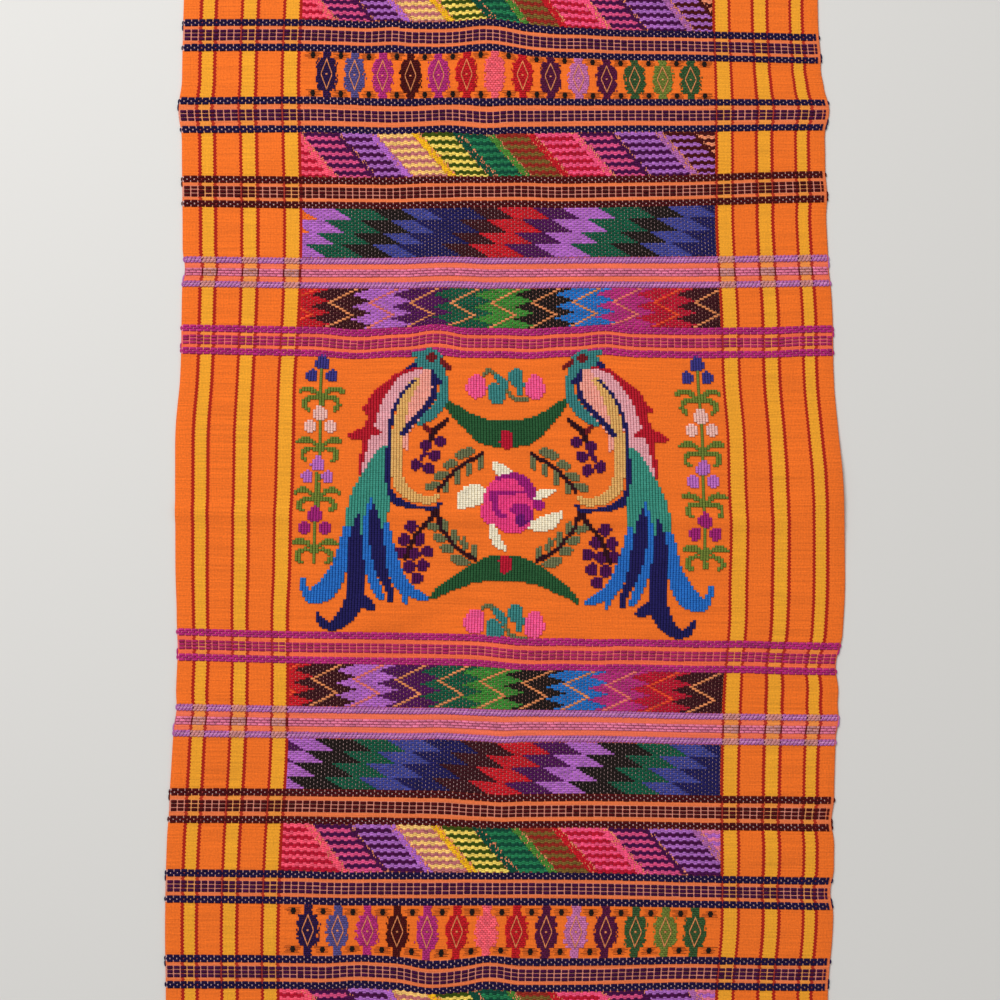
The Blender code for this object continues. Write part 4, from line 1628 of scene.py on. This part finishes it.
def bird() -> list[Shape]:
    """The left long-tailed bird, head up and tail down, drawn from back to front."""
    red, pink, gold, dark = Yarn.FEATHER_RED, Yarn.WING_PINK, Yarn.GOLD, Yarn.NAVY
    teal, body, blue, rose = Yarn.TEAL, Yarn.TEAL_GREEN, Yarn.PLUME_BLUE, Yarn.WING_ROSE
    back = [
        Stroke(red, ((-50, 81.5, 3), (-60, 81.5, 3.5), (-68, 78.5, 5), (-75, 72, 7.5), (-83, 64, 9),
                     (-86.5, 56, 8), (-87, 49, 7), (-89, 41, 7), (-91, 32, 4), (-94, 20, 3), (-95, 13, 2))),
        Stroke(red, ((-84, 57.5, 9), (-90, 57, 5), (-92.5, 56.5, 2.5))),
        Stroke(red, ((-88, 41, 7), (-95, 39, 4.5), (-101, 38, 2.5))),
    ]
    tail = [
        Stroke(body, ((-79, 29, 3), (-82, 21, 10), (-85, 11, 18), (-87.5, 0, 24), (-89, -10, 26), (-89.5, -20, 26),
                      (-91, -29, 23))),
        Stroke(blue, ((-101.5, -22, 6), (-103, -34, 8), (-106, -46, 10), (-111, -57, 13), (-117, -63, 12),
                      (-123.5, -65, 7), (-127.5, -59, 4), (-128, -54, 3))),
        Stroke(blue, ((-77, -18, 4), (-75.5, -30, 6), (-72.5, -43, 8.5), (-68, -54, 9), (-60, -61.5, 6.5),
                      (-50.5, -65.5, 3.5))),
        Stroke(blue, ((-65, -60, 6), (-63, -68.5, 3))),
        Stroke(blue, ((-87, -1, 2.6), (-89, -16, 4.5), (-89.5, -30, 5.5), (-87, -45, 6), (-83, -57, 6), (-79, -65, 4))),
        Stroke(dark, ((-94.5, -13, 3), (-96, -26, 7.5), (-95.5, -42, 10), (-95, -56, 11), (-95.5, -67, 12),
                      (-101, -78, 10), (-109, -84, 6), (-115, -82, 4.5), (-118, -77, 3))),
        Stroke(dark, ((-93, -66, 9), (-84, -71.5, 5))),
        Stroke(dark, ((-85.5, -6, 2.6), (-84, -18, 7.5), (-82, -34, 9), (-79, -49, 7), (-74.5, -59, 4.5),
                      (-73, -67, 3))),
    ]
    wing = [
        Stroke(rose, ((-56, 79, 7), (-65, 75, 9), (-72, 67, 9), (-77, 58, 9.5), (-79, 49, 10.5), (-82, 37, 12.5),
                      (-88, 26, 6), (-92.5, 15, 2.6))),
        Stroke(body, ((-79, 30, 4), (-83, 23, 8), (-87, 13, 10), (-91, 2, 10))),
        Stroke(red, ((-83, 40.5, 3.8), (-88, 41.5, 6.5), (-94, 39.5, 6.5), (-98, 38.5, 5), (-101.5, 38, 2.5))),
        Stroke(pink, ((-51.8, 78.7, 8.2), (-54, 70.4, 13), (-56, 62.2, 14), (-60.3, 54.8, 12), (-64.4, 48.3, 10),
                      (-67.3, 41, 6.5), (-67.2, 36, 4.5), (-65.8, 31, 3))),
        Stroke(gold, ((-58.3, 75, 4.9), (-63, 68.8, 6.5), (-66.7, 60.6, 7.0), (-69.0, 50.7, 7.2), (-70.8, 40.9, 7.0),
                      (-71.4, 27.7, 7.0), (-70.9, 14.7, 7.2), (-69.0, 6.4, 7.4), (-64.0, 0.7, 6.8), (-57.4, -2.3, 5.6),
                      (-49.4, -3.1, 4.8), (-45.2, -0.5, 2.8))),
        Stroke(dark, ((-60, 75, 1.9), (-68, 66, 2.1), (-73, 56, 2.3), (-75.5, 45, 2.5), (-76.5, 30, 2.7),
                      (-77, 14, 2.8), (-75, 2, 3), (-71, -4, 4.8), (-61, -7.5, 2.6), (-48, -8.6, 2.4), (-44, -5.5, 2.2))),
    ]
    front = [
        Stroke(teal, ((-47, 88, 9), (-44, 81, 6.5), (-41.5, 74, 6.5), (-41.5, 66, 7), (-45, 58, 7), (-51, 52, 6),
                      (-56.5, 47, 3.5))),
        Stroke(dark, ((-49, 82, 2.6), (-47, 75, 3.4), (-47.5, 66, 3.4), (-52.5, 58, 3.6), (-59, 50.5, 3.8),
                      (-64, 45, 3.8), (-67.5, 40, 3.4))),
        Stroke(dark, ((-46.5, 74.5, 4.5), (-42.5, 74, 2.4))),
        Stroke(dark, ((-64, 83.5, 2.4), (-58, 85, 3), (-53, 84.5, 2.4))),
        Oval(teal, -51.0, 88.0, 8.8, 6.0),
        Stroke(teal, ((-54, 91.5, 4), (-61.5, 92, 2.6))),
        Oval(Yarn.EYE_RED, -49.3, 89.0, 3.2, 2.8),
        Stroke(Yarn.EYE_RED, ((-43, 87.0, 3.6), (-40, 85.0, 3.4), (-37.5, 83.4, 2.4))),
    ]
    return back + [shape.moved(0.0, -2.0) for shape in tail] + wing + front


def rose() -> list[Shape]:
    """The open rose and the five pale leaves round it."""
    pink, shade, cream = Yarn.ROSE, Yarn.ROSE_SHADE, Yarn.CREAM
    leaves = [
        Stroke(cream, ((-9.5, 20.5, 3), (-6.5, 17.5, 7), (-2, 15.5, 6), (4, 11.5, 2.5))),
        Stroke(cream, ((-31.5, -7, 4), (-27, -2, 12), (-22, 0.5, 13.5), (-14, 1, 4))),
        Stroke(cream, ((15, -0.5, 3), (20, 1.5, 6), (27.5, 3.8, 2.6))),
        Stroke(cream, ((11, -19, 4), (17, -18.5, 7), (23.5, -16.8, 9.5), (29, -13.4, 6.5), (32, -11, 3.2))),
        Stroke(cream, ((-12, -18, 3), (-10, -24, 5.5), (-7.5, -30, 6), (-3, -34, 3))),
    ]
    flower = [
        Oval(pink, -1.5, -4.0, 15.0, 17.0), Oval(pink, -9.5, -10.0, 8.8, 9.0), Oval(pink, 2.0, -14.0, 12.0, 10.0),
        Oval(pink, 6.5, -4.0, 9.0, 12.0),
        Stroke(shade, ((-8, 11.5, 2.5), (0, 13.5, 3), (7, 11.5, 6), (12, 6, 6.5), (14, 0, 4))),
        Stroke(shade, ((-11, 2.0, 3.2), (0, 2.2, 2.6), (10, 3.0, 2.2))),
        Stroke(shade, ((-10, 1.5, 4.5), (-9, -7, 4.5), (-6.5, -12.5, 2.4), (-2.5, -13, 2.4))),
        Oval(shade, 7.0, -8.5, 6.4, 4.2), Oval(Yarn.ROSE_HEART, 7.5, -15.5, 4.6, 4.0), Oval(shade, 12.0, -12.0, 3.0, 4.0),
        Oval(shade, 18.0, -5.0, 3.6, 3.6),
    ]
    return leaves + flower


def swag(side: float, middle: float) -> list[Shape]:
    """A bough of dark leaves that sags or arches between the birds, with a red bud.

    Args:
        side: 1 for the upper bough, which sags, and -1 for the lower one, which arches.
        middle: The bud's place along.

    Returns:
        Its shapes.
    """
    line = -2.2
    half = ((0, 0.5, 17), (7, 1, 17), (14, 2.5, 16), (21, 7, 12), (28, 12, 9), (34.5, 18, 6), (39.5, 23, 2))
    if side < 0:
        half = ((0, -0.5, 16.8), (7, -0.3, 16.6), (14, 1.4, 13.8), (21, 3.8, 11.4), (28, 7.8, 9), (35, 11.8, 7.2),
                (41, 15.6, 5), (45.5, 19.2, 2.8))
    right = Stroke(Yarn.LEAF_DARK, tuple((line + x, middle + side * y, w) for x, y, w in half))
    bud = Stroke(Yarn.CRIMSON, ((line, middle - side * 1.0, 8.0), (line, middle - 4.8 * side, 8.5)))
    return [right, right.mirrored(line), bud]


def branch(mirror_across: bool, mirror_along: bool) -> list[Shape]:
    """A thin dark branch of grey-green leaflets beside the rose.

    Args:
        mirror_across: Whether it is on the right.
        mirror_along: Whether it is the lower one.

    Returns:
        Its shapes.
    """
    line, level, root = -1.8, -7.3, -45.2
    narrow = 0.87 if mirror_along else 1.0
    stem = ((-17.0, 27.5, 2.6), (-25.2, 22.8, 2.3), (-33.5, 17.2, 2.3), (-39.7, 10.3, 2.3), (root, 3.4, 2.3))
    outer = ((-28.6, 27.8, 6.4, 3.2), (-37.9, 20.4, 4.6, 2.7), (-43.4, 13.3, 4.6, 2.7), (-49.0, 5.9, 5.0, 2.5))
    inner = ((-18.5, 21.5, 1.9, 4.8), (-25.8, 16.8, 1.9, 4.6), (-32.6, 12.0, 2.2, 5.2), (-40.0, 5.4, 2.4, 4.3))

    def drawn_in(across: float) -> float:
        """A place across, nearer to the branch's root on the lower branches."""
        return root + (across - root) * narrow

    shapes: list[Shape] = [Oval(Yarn.LEAFLET, drawn_in(x), y, u, v, 18.0) for x, y, u, v in outer]
    shapes += [Oval(Yarn.LEAFLET, drawn_in(x), y, u, v, -8.0) for x, y, u, v in inner]
    shapes.append(Stroke(Yarn.BRANCH, tuple((drawn_in(x), y, w) for x, y, w in stem)))
    if mirror_along:
        shapes = [flipped(shape, level) for shape in shapes]
    if mirror_across:
        shapes = [shape.mirrored(line) for shape in shapes]
    return shapes


def flipped(shape: Shape, level: float) -> Shape:
    """The same shape upside down about a level along the cloth."""
    if isinstance(shape, Oval):
        return replace(shape, along=2.0 * level - shape.along, turn=-shape.turn)
    return replace(shape, route=tuple((x, 2.0 * level - y, w) for x, y, w in shape.route))


def grapes() -> list[Shape]:
    """The two bunches of grapes on the left, with their stalks."""
    upper = ((-44.2, 35.3), (-52.9, 33), (-47.4, 26), (-59.2, 19.6), (-50.9, 17.2))
    lower = ((-61.4, -20.7), (-65.4, -29.4), (-56, -29.2), (-67.6, -37.9), (-59.4, -38.4), (-51.1, -36.9),
             (-62.6, -47), (-53.9, -46), (-57.2, -54.4))
    shapes: list[Shape] = [Oval(Yarn.GRAPE, x, y, 3.6, 3.7) for x, y in upper]
    shapes += [Oval(Yarn.GRAPE, x, y, 3.8, 3.9) for x, y in lower]
    shapes += [
        Stroke(Yarn.BRANCH, ((-39.5, 50, 2.8), (-43, 46, 2.8), (-47, 43, 3.4), (-49.2, 39, 3.2), (-50, 35.5, 2.4))),
        Stroke(Yarn.EYE_RED, ((-53.5, 45, 3), (-50.5, 42, 2.6))),
        Stroke(Yarn.GRAPE, ((-53.4, 27.6, 3), (-56, 24, 2.4))),
        Stroke(Yarn.BRANCH, ((-46.5, -10.5, 4.2), (-50.8, -17.2, 2.8), (-58.7, -26.4, 2.6), (-60.5, -31, 2.8),
                             (-63, -37, 2.8), (-64.4, -41.5, 2.4))),
        Stroke(Yarn.BRANCH, ((-46.5, -10.5, 4.2), (-43.4, -16.4, 2.6), (-42.5, -20, 2.4))),
    ]
    return shapes


def flower_stem(lean: float) -> list[Shape]:
    """A column of four sprays, each with three buds over four curled leaves.

    Args:
        lean: How far the column's foot lies to the right of its top.

    Returns:
        Its shapes, with the stem at 0 across.
    """
    nodes = (63.2, 29.8, -3.2, -36.6)
    buds = (Yarn.BUD_NAVY, Yarn.BUD_PALE, Yarn.BUD_LILAC, Yarn.BUD_MAGENTA)
    leaf_out = ((1.0, 0.8, 2.0), (5.0, 4.4, 3.0), (9.6, 5.6, 3.6), (13.6, 4.2, 2.2))
    leaf_down = ((1.2, -0.8, 2.0), (5.4, 0.0, 2.6), (9.6, -1.6, 3.2), (10.8, -5.4, 3.2), (8.2, -8.0, 2.2))
    shapes: list[Shape] = []
    for number, (node, bud) in enumerate(zip(nodes, buds)):
        shift = lean * number / (len(nodes) - 1)
        spray: list[Shape] = [Stroke(Yarn.STEM, ((0, 19, 2.2), (0, 4, 2.8), (0, -7, 2.8)))]
        for leaf in (leaf_out, leaf_down):
            right = Stroke(Yarn.STEM, leaf)
            spray += [right, right.mirrored(0.0)]
        spray += [Oval(bud, -6.4, 14.4, 3.7, 4.1, 12.0), Oval(bud, 6.4, 14.4, 3.7, 4.1, -12.0)]
        spray += [Oval(bud, 0.0, 22.6, 4.6, 4.2), Oval(bud, 0.0, 24.6, 2.8, 4.0)]
        shapes += [shape.moved(shift, node) for shape in spray]
    return shapes


def twin_buds(along: float) -> list[Shape]:
    """Two pink buds on a winding stem with two broad leaves, above or below the rose."""
    teal, pink = Yarn.TEAL, Yarn.BUD_PINK
    shapes: list[Shape] = [
        Oval(pink, -20.3, -0.9, 6.6, 6.8), Oval(pink, -20.0, 2.4, 5.2, 5.6),
        Oval(pink, 16.8, -1.6, 6.4, 6.8), Oval(pink, 17.2, 2.2, 4.6, 5.6),
        Oval(teal, -7.6, -5.5, 5.2, 6.2), Oval(teal, -9.5, -2.8, 3.4, 5.4),
        Oval(teal, 5.0, 6.2, 4.6, 5.8), Oval(teal, 7.4, 1.2, 2.8, 6.6),
        Stroke(Yarn.LEAFLET, ((-15.5, 8.4, 2.4), (-12.4, 10.6, 2.6), (-7.6, 7.6, 2.6))),
        Stroke(teal, ((-7.6, 7.0, 3.4), (-3.4, 2.6, 5.0), (-1.0, -2.6, 2.4))),
        Stroke(Yarn.LEAFLET, ((-1.0, -2.6, 2.4), (2.0, -6.6, 2.4), (6.6, -8.8, 2.6), (11.2, -8.6, 2.4))),
    ]
    return [shape.moved(0.0, along) for shape in shapes]


@dataclass
class CentrePanel:
    """The brocaded picture of birds and flowers, woven in short floats that stand in columns."""

    works: YarnWorks
    low: float = -90.5
    high: float = 95.0
    column_pitch: float = 1.83
    row_pitch: float = 1.36
    mirror: float = -1.0
    overlap: float = 0.12
    width: float = 1.56
    height: float = 0.7

    def groups(self) -> dict[str, list[Shape]]:
        """The picture's pieces by name, from back to front."""
        left_bird, left_grapes = bird(), grapes()
        left_flowers = [shape.moved(-119.4, 0.0) for shape in flower_stem(-2.2)]
        right_flowers = [shape.moved(121.3, 0.0) for shape in flower_stem(0.9)]
        return {
            "leaf_boughs": swag(1.0, 40.0) + swag(-1.0, -47.5),
            "leaflet_branches": [shape for across in (False, True) for along in (False, True)
                                 for shape in branch(across, along)],
            "grape_bunches": left_grapes + [shape.mirrored(self.mirror) for shape in left_grapes],
            "twin_buds": twin_buds(71.5) + twin_buds(-81.5),
            "rose": rose(),
            "flower_columns": left_flowers + right_flowers,
            "bird_left": left_bird,
            "bird_right": [shape.mirrored(self.mirror) for shape in left_bird],
        }

    def head_covers(self, across: Numbers, along: Numbers) -> Numbers:
        """Where the birds' heads lie over the rib band above them."""
        found = np.zeros(across.shape, dtype=bool)
        for shape in bird():
            if shape.yarn in (Yarn.TEAL, Yarn.EYE_RED):
                found |= shape.covers(across, along) | shape.mirrored(self.mirror).covers(across, along)
        return found

    def build(self) -> list[bpy.types.Object]:
        """Draw the picture on the weave's grid and weave each of its pieces.

        Returns:
            The pieces.
        """
        panel_low, panel_high = self.works.cloth.flat_across[1:3]
        columns = np.arange(math.ceil(panel_low / self.column_pitch), math.floor(panel_high / self.column_pitch))
        rows = np.arange(self.low + self.row_pitch / 2.0, self.high, self.row_pitch)
        across, along = np.meshgrid((columns + 0.5) * self.column_pitch, rows)
        yarns = np.full(across.shape, NO_YARN)
        owner = np.full(across.shape, NO_YARN)
        groups = self.groups()
        for number, shapes in enumerate(groups.values()):
            for shape in shapes:
                covered = shape.covers(across, along)
                yarns[covered] = YARN_NUMBER[shape.yarn]
                owner[covered] = number
        pieces = []
        for number, name in enumerate(groups):
            floats = Floats()
            for row, place in enumerate(rows):
                mine = owner[row] == number
                if mine.any():
                    left = columns[mine] * self.column_pitch - self.overlap
                    ends = np.column_stack([left, left + self.column_pitch + 2.0 * self.overlap])
                    floats.add(ends, place, self.width, self.height, yarns[row][mine])
            pieces.append(self.works.piece(name, floats, BROCADE_YARN, SHORT_STITCH))
        return pieces


@dataclass
class HemStitches:
    """The line of stitches that holds each turned hem."""

    works: YarnWorks
    from_end: float = 8.2
    pitch: float = 3.4
    length: float = 2.5

    def build(self) -> bpy.types.Object:
        """Sew both hems.

        Returns:
            The stitches.
        """
        cloth = self.works.cloth
        left = np.arange(cloth.flat_across[0] + 2.0, cloth.flat_across[-1] - 4.0, self.pitch)
        floats = Floats()
        for side in (-1.0, 1.0):
            ends = np.column_stack([left, left + self.length])
            yarns = np.full(len(left), YARN_NUMBER[Yarn.STITCH])
            floats.add(ends, side * (cloth.hem_place - self.from_end), 0.6, 0.4, yarns)
        return self.works.piece("hem_stitches", floats, STITCH_YARN)


def diagonal_band(name: str, top: float, bottom: float, works: YarnWorks, lower: bool) -> DiagonalBand:
    """One band of slanting stripes.

    Args:
        name: The piece's name.
        top: Its top along the cloth.
        bottom: Its bottom.
        works: Makes the piece.
        lower: Whether it has the lower bands' spacing.

    Returns:
        The band, not built yet.
    """
    yarn = Yarn
    upper_starts = (-142.0, -114.0, -92.0, -63.5, -36.5, -14.0, 12.0, 41.0, 67.0, 96.5, 120.5)
    lower_starts = (-124.0, -97.0, -71.5, -44.0, -18.5, 6.0, 31.0, 61.0, 88.5, 118.5, 146.0)
    stripes = (yarn.CORAL_PINK, yarn.DARK_PURPLE, yarn.LILAC, yarn.YELLOW, yarn.PINE, yarn.LIME, yarn.RED,
               yarn.PINK, yarn.DARK_PURPLE, yarn.ORCHID, yarn.BROWN_LINE)
    last = (yarn.ORCHID_PINK, yarn.LILAC) if lower else (yarn.BROWN_LINE, yarn.WAVE_LILAC)
    left_dark, right_dark = (yarn.DARK_PURPLE, yarn.WAVE_PINK), (yarn.WAVE_LILAC, yarn.DARK_PURPLE)
    waves = ((yarn.CORAL_PINK, yarn.CRIMSON), left_dark, right_dark, (yarn.PALE_PEACH, yarn.MAUVE),
             (yarn.DARK_OLIVE, yarn.PALE_YELLOW), (yarn.PINE, yarn.FERN), (yarn.BRICK, yarn.OLIVE),
             (yarn.PINK, yarn.CRIMSON), left_dark, right_dark, last, (yarn.BROWN_LINE, yarn.FLECK))
    return DiagonalBand(name, top, bottom, works, starts=lower_starts if lower else upper_starts,
                        stripes=stripes, waves=waves)


class Runner:
    """The whole runner: every band in its place, from one end of the pattern to the other."""

    def __init__(self, works: YarnWorks) -> None:
        """Set out the bands for works."""
        self.works = works
        self.panel = CentrePanel(works)
        self.ribs = self._ribs()
        self.bands = self._bands()

    def _ribs(self) -> list[RibBand]:
        """The twelve rib bands, from the lower end to the upper."""
        half = [NAVY_KIND, NAVY_KIND, NAVY_KIND, BROWN_KIND, ORCHID_KIND, MAGENTA_KIND]
        numbers = [*range(6, 0, -1), *range(1, 7)]
        names = [f"rib_{'lower' if index < 6 else 'upper'}_{number}" for index, number in enumerate(numbers)]
        dark = (NAVY_KIND, BROWN_KIND)
        return [
            RibBand(name, place, kind, self.works, self.panel.head_covers, kind in dark,
                    right_inset=2.2 if kind in dark else 0.8)
            for name, place, kind in zip(names, self.works.cloth.ribs, half + half[::-1])
        ]

    def _bands(self) -> list[BrocadeBand]:
        """The brocade bands that lie between neighbouring rib bands."""
        ribs = self.works.cloth.ribs
        line = 2.3

        def between(lower: int) -> tuple[float, float]:
            """The top and bottom of the space above one rib band."""
            return ribs[lower + 1].along - ribs[lower + 1].half - line, ribs[lower].along + ribs[lower].half + line

        yarn = Yarn
        figures = (yarn.FIGURE_NAVY, yarn.FIGURE_SLATE, yarn.FIGURE_PINK, yarn.BROWN_LINE, yarn.FIGURE_PINK,
                   yarn.RED, yarn.FIGURE_CORAL, yarn.RED, yarn.FIGURE_PLUM, yarn.FIGURE_LILAC, yarn.FIGURE_PLUM,
                   yarn.FIGURE_GREEN, yarn.FIGURE_LIME, yarn.FIGURE_GREEN)
        zigzags = (yarn.RED, yarn.MAROON_BLACK, yarn.LILAC, yarn.PURPLE, yarn.GREEN, yarn.LEAF_GREEN,
                   yarn.BLACK, yarn.BLUE, yarn.FIGURE_PINK, yarn.CRIMSON, yarn.MAROON_BLACK, yarn.MAROON_BLACK)
        upper_edges = (-138.0, -115.0, -91.0, -71.3, -55.5, -25.8, -7.9, 15.8, 35.6, 59.4, 85.8, 104.9, 126.7)
        upper_flames = (yarn.LILAC, yarn.GREEN, yarn.BLACK, yarn.SLATE, yarn.NAVY, yarn.MAROON_BLACK, yarn.RED,
                        yarn.PURPLE, yarn.LILAC, yarn.GREEN, yarn.BLACK, yarn.SLATE, yarn.NAVY)
        lower_edges = (-138.0, -119.3, -95.5, -74.0, -51.5, -27.8, -5.0, 17.7, 37.3, 58.1, 82.5, 104.0, 123.5)
        lower_flames = (yarn.LILAC, yarn.BLACK, yarn.GREEN, yarn.SLATE, yarn.NAVY, yarn.MAROON_BLACK, yarn.RED,
                        yarn.PURPLE, yarn.LILAC, yarn.BLACK, yarn.GREEN, yarn.SLATE, yarn.NAVY)
        return [
            diagonal_band("diagonals_lower_end", *between(0), self.works, True),
            FigureBand("figures_lower", *between(1), self.works, yarns=figures),
            diagonal_band("diagonals_lower", *between(2), self.works, True),
            FlameBand("flames_lower", *between(3), self.works, edges=lower_edges, yarns=lower_flames,
                      behind=yarn.PURPLE),
            ZigzagBand("zigzags_lower", *between(4), self.works, yarns=zigzags, first=-121.2, pitch=26.45),
            ZigzagBand("zigzags_upper", *between(6), self.works, yarns=zigzags),
            FlameBand("flames_upper", *between(7), self.works, edges=upper_edges, yarns=upper_flames),
            diagonal_band("diagonals_upper", *between(8), self.works, False),
            FigureBand("figures_upper", *between(9), self.works, yarns=figures),
            diagonal_band("diagonals_upper_end", *between(10), self.works, False),
        ]

    def build(self) -> bpy.types.Object:
        """Build every piece of the runner.

        Returns:
            The ground cloth, with all other pieces on it.
        """
        tints = [tint for part in (*self.bands, *self.ribs) for tint in part.tints()]
        ground = GroundCloth(self.works.cloth, tints).build()
        yarn_pieces = [rib.build() for rib in self.ribs]
        yarn_pieces += [band.build() for band in self.bands]
        yarn_pieces += self.panel.build()
        yarn_pieces.append(HemStitches(self.works).build())
        return ground


@dataclass(frozen=True)
class Studio:
    """The camera straight above the runner, the pale floor and the soft light."""

    distance: float = 1.05
    metres_a_pixel: float = 0.00064
    image_side: int = 1000
    sensor: float = 36.0
    tilt: float = 3.4
    aim: tuple[float, float] = (-0.0045, -0.0026)
    floor_side: float = 4.0
    floor_drop: float = 0.0003
    key_place: Point = (-0.9, 1.1, 1.7)
    key_side: float = 1.1
    key_power: float = 33.0
    fill_place: Point = (1.2, -0.9, 1.6)
    fill_side: float = 2.0
    fill_power: float = 4.0
    sky: float = 0.42

    def camera(self) -> None:
        """Place the camera at the photograph's tilt, with its frame's scale on the floor."""
        tilt = math.radians(self.tilt)
        data = bpy.data.cameras.new("photo_camera")
        data.sensor_width = self.sensor
        data.lens = self.distance / self.metres_a_pixel / self.image_side * self.sensor
        data.clip_start = 0.01
        camera = bpy.data.objects.new("photo_camera", data)
        camera.location = (self.aim[0], self.aim[1] - self.distance * math.sin(tilt),
                           self.distance * math.cos(tilt))
        camera.rotation_euler = (tilt, 0.0, 0.0)
        bpy.context.scene.collection.objects.link(camera)
        bpy.context.scene.camera = camera

    def light(self, name: str, place: Point, side: float, power: float) -> None:
        """Add one soft square light that shines at the runner's middle.

        Args:
            name: The light's name.
            place: Where it hangs, in metres.
            side: Its side.
            power: Its power in watts.
        """
        data = bpy.data.lights.new(name, "AREA")
        data.size = side
        data.energy = power
        lamp = bpy.data.objects.new(name, data)
        lamp.location = place
        x, y, z = place
        lamp.rotation_euler = (math.atan2(math.hypot(x, y), z), 0.0, math.atan2(y, x) + math.pi / 2.0)
        bpy.context.scene.collection.objects.link(lamp)

    def floor(self) -> None:
        """Lay the plain pale floor under the runner."""
        bpy.ops.object.select_all(action="DESELECT")
        bpy.ops.mesh.primitive_plane_add(size=self.floor_side, location=(0.0, 0.0, -self.floor_drop))
        floor = bpy.context.object
        floor.name = "pale_floor"
        material = bpy.data.materials.new("pale_floor")
        material.use_nodes = True
        shader = material.node_tree.nodes["Principled BSDF"]
        shader.inputs["Base Color"].default_value = (0.72, 0.71, 0.69, 1.0)
        shader.inputs["Roughness"].default_value = 0.7
        floor.data.materials.append(material)

    def world(self) -> None:
        """Fill the room with even white light."""
        world = bpy.data.worlds.new("soft_room")
        world.use_nodes = True
        background = world.node_tree.nodes["Background"]
        background.inputs["Color"].default_value = (1.0, 0.99, 0.97, 1.0)
        background.inputs["Strength"].default_value = self.sky
        bpy.context.scene.world = world

    def build(self) -> None:
        """Set up camera, floor and light, with dyes shown as bright as they are."""
        bpy.context.scene.view_settings.view_transform = "Standard"
        self.camera()
        self.floor()
        self.world()
        self.light("key_light", self.key_place, self.key_side, self.key_power)
        self.light("fill_light", self.fill_place, self.fill_side, self.fill_power)


def plain(box: Iterable) -> list[list[float]]:
    """A box as plain lists of numbers."""
    return [[float(value) for value in corner] for corner in box]


def main() -> None:
    logging.basicConfig(level=logging.INFO, format="%(name)s: %(message)s")
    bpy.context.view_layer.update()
    Studio().build()
    Runner(YarnWorks(CLOTH)).build()


if __name__ == "__main__":
    main()
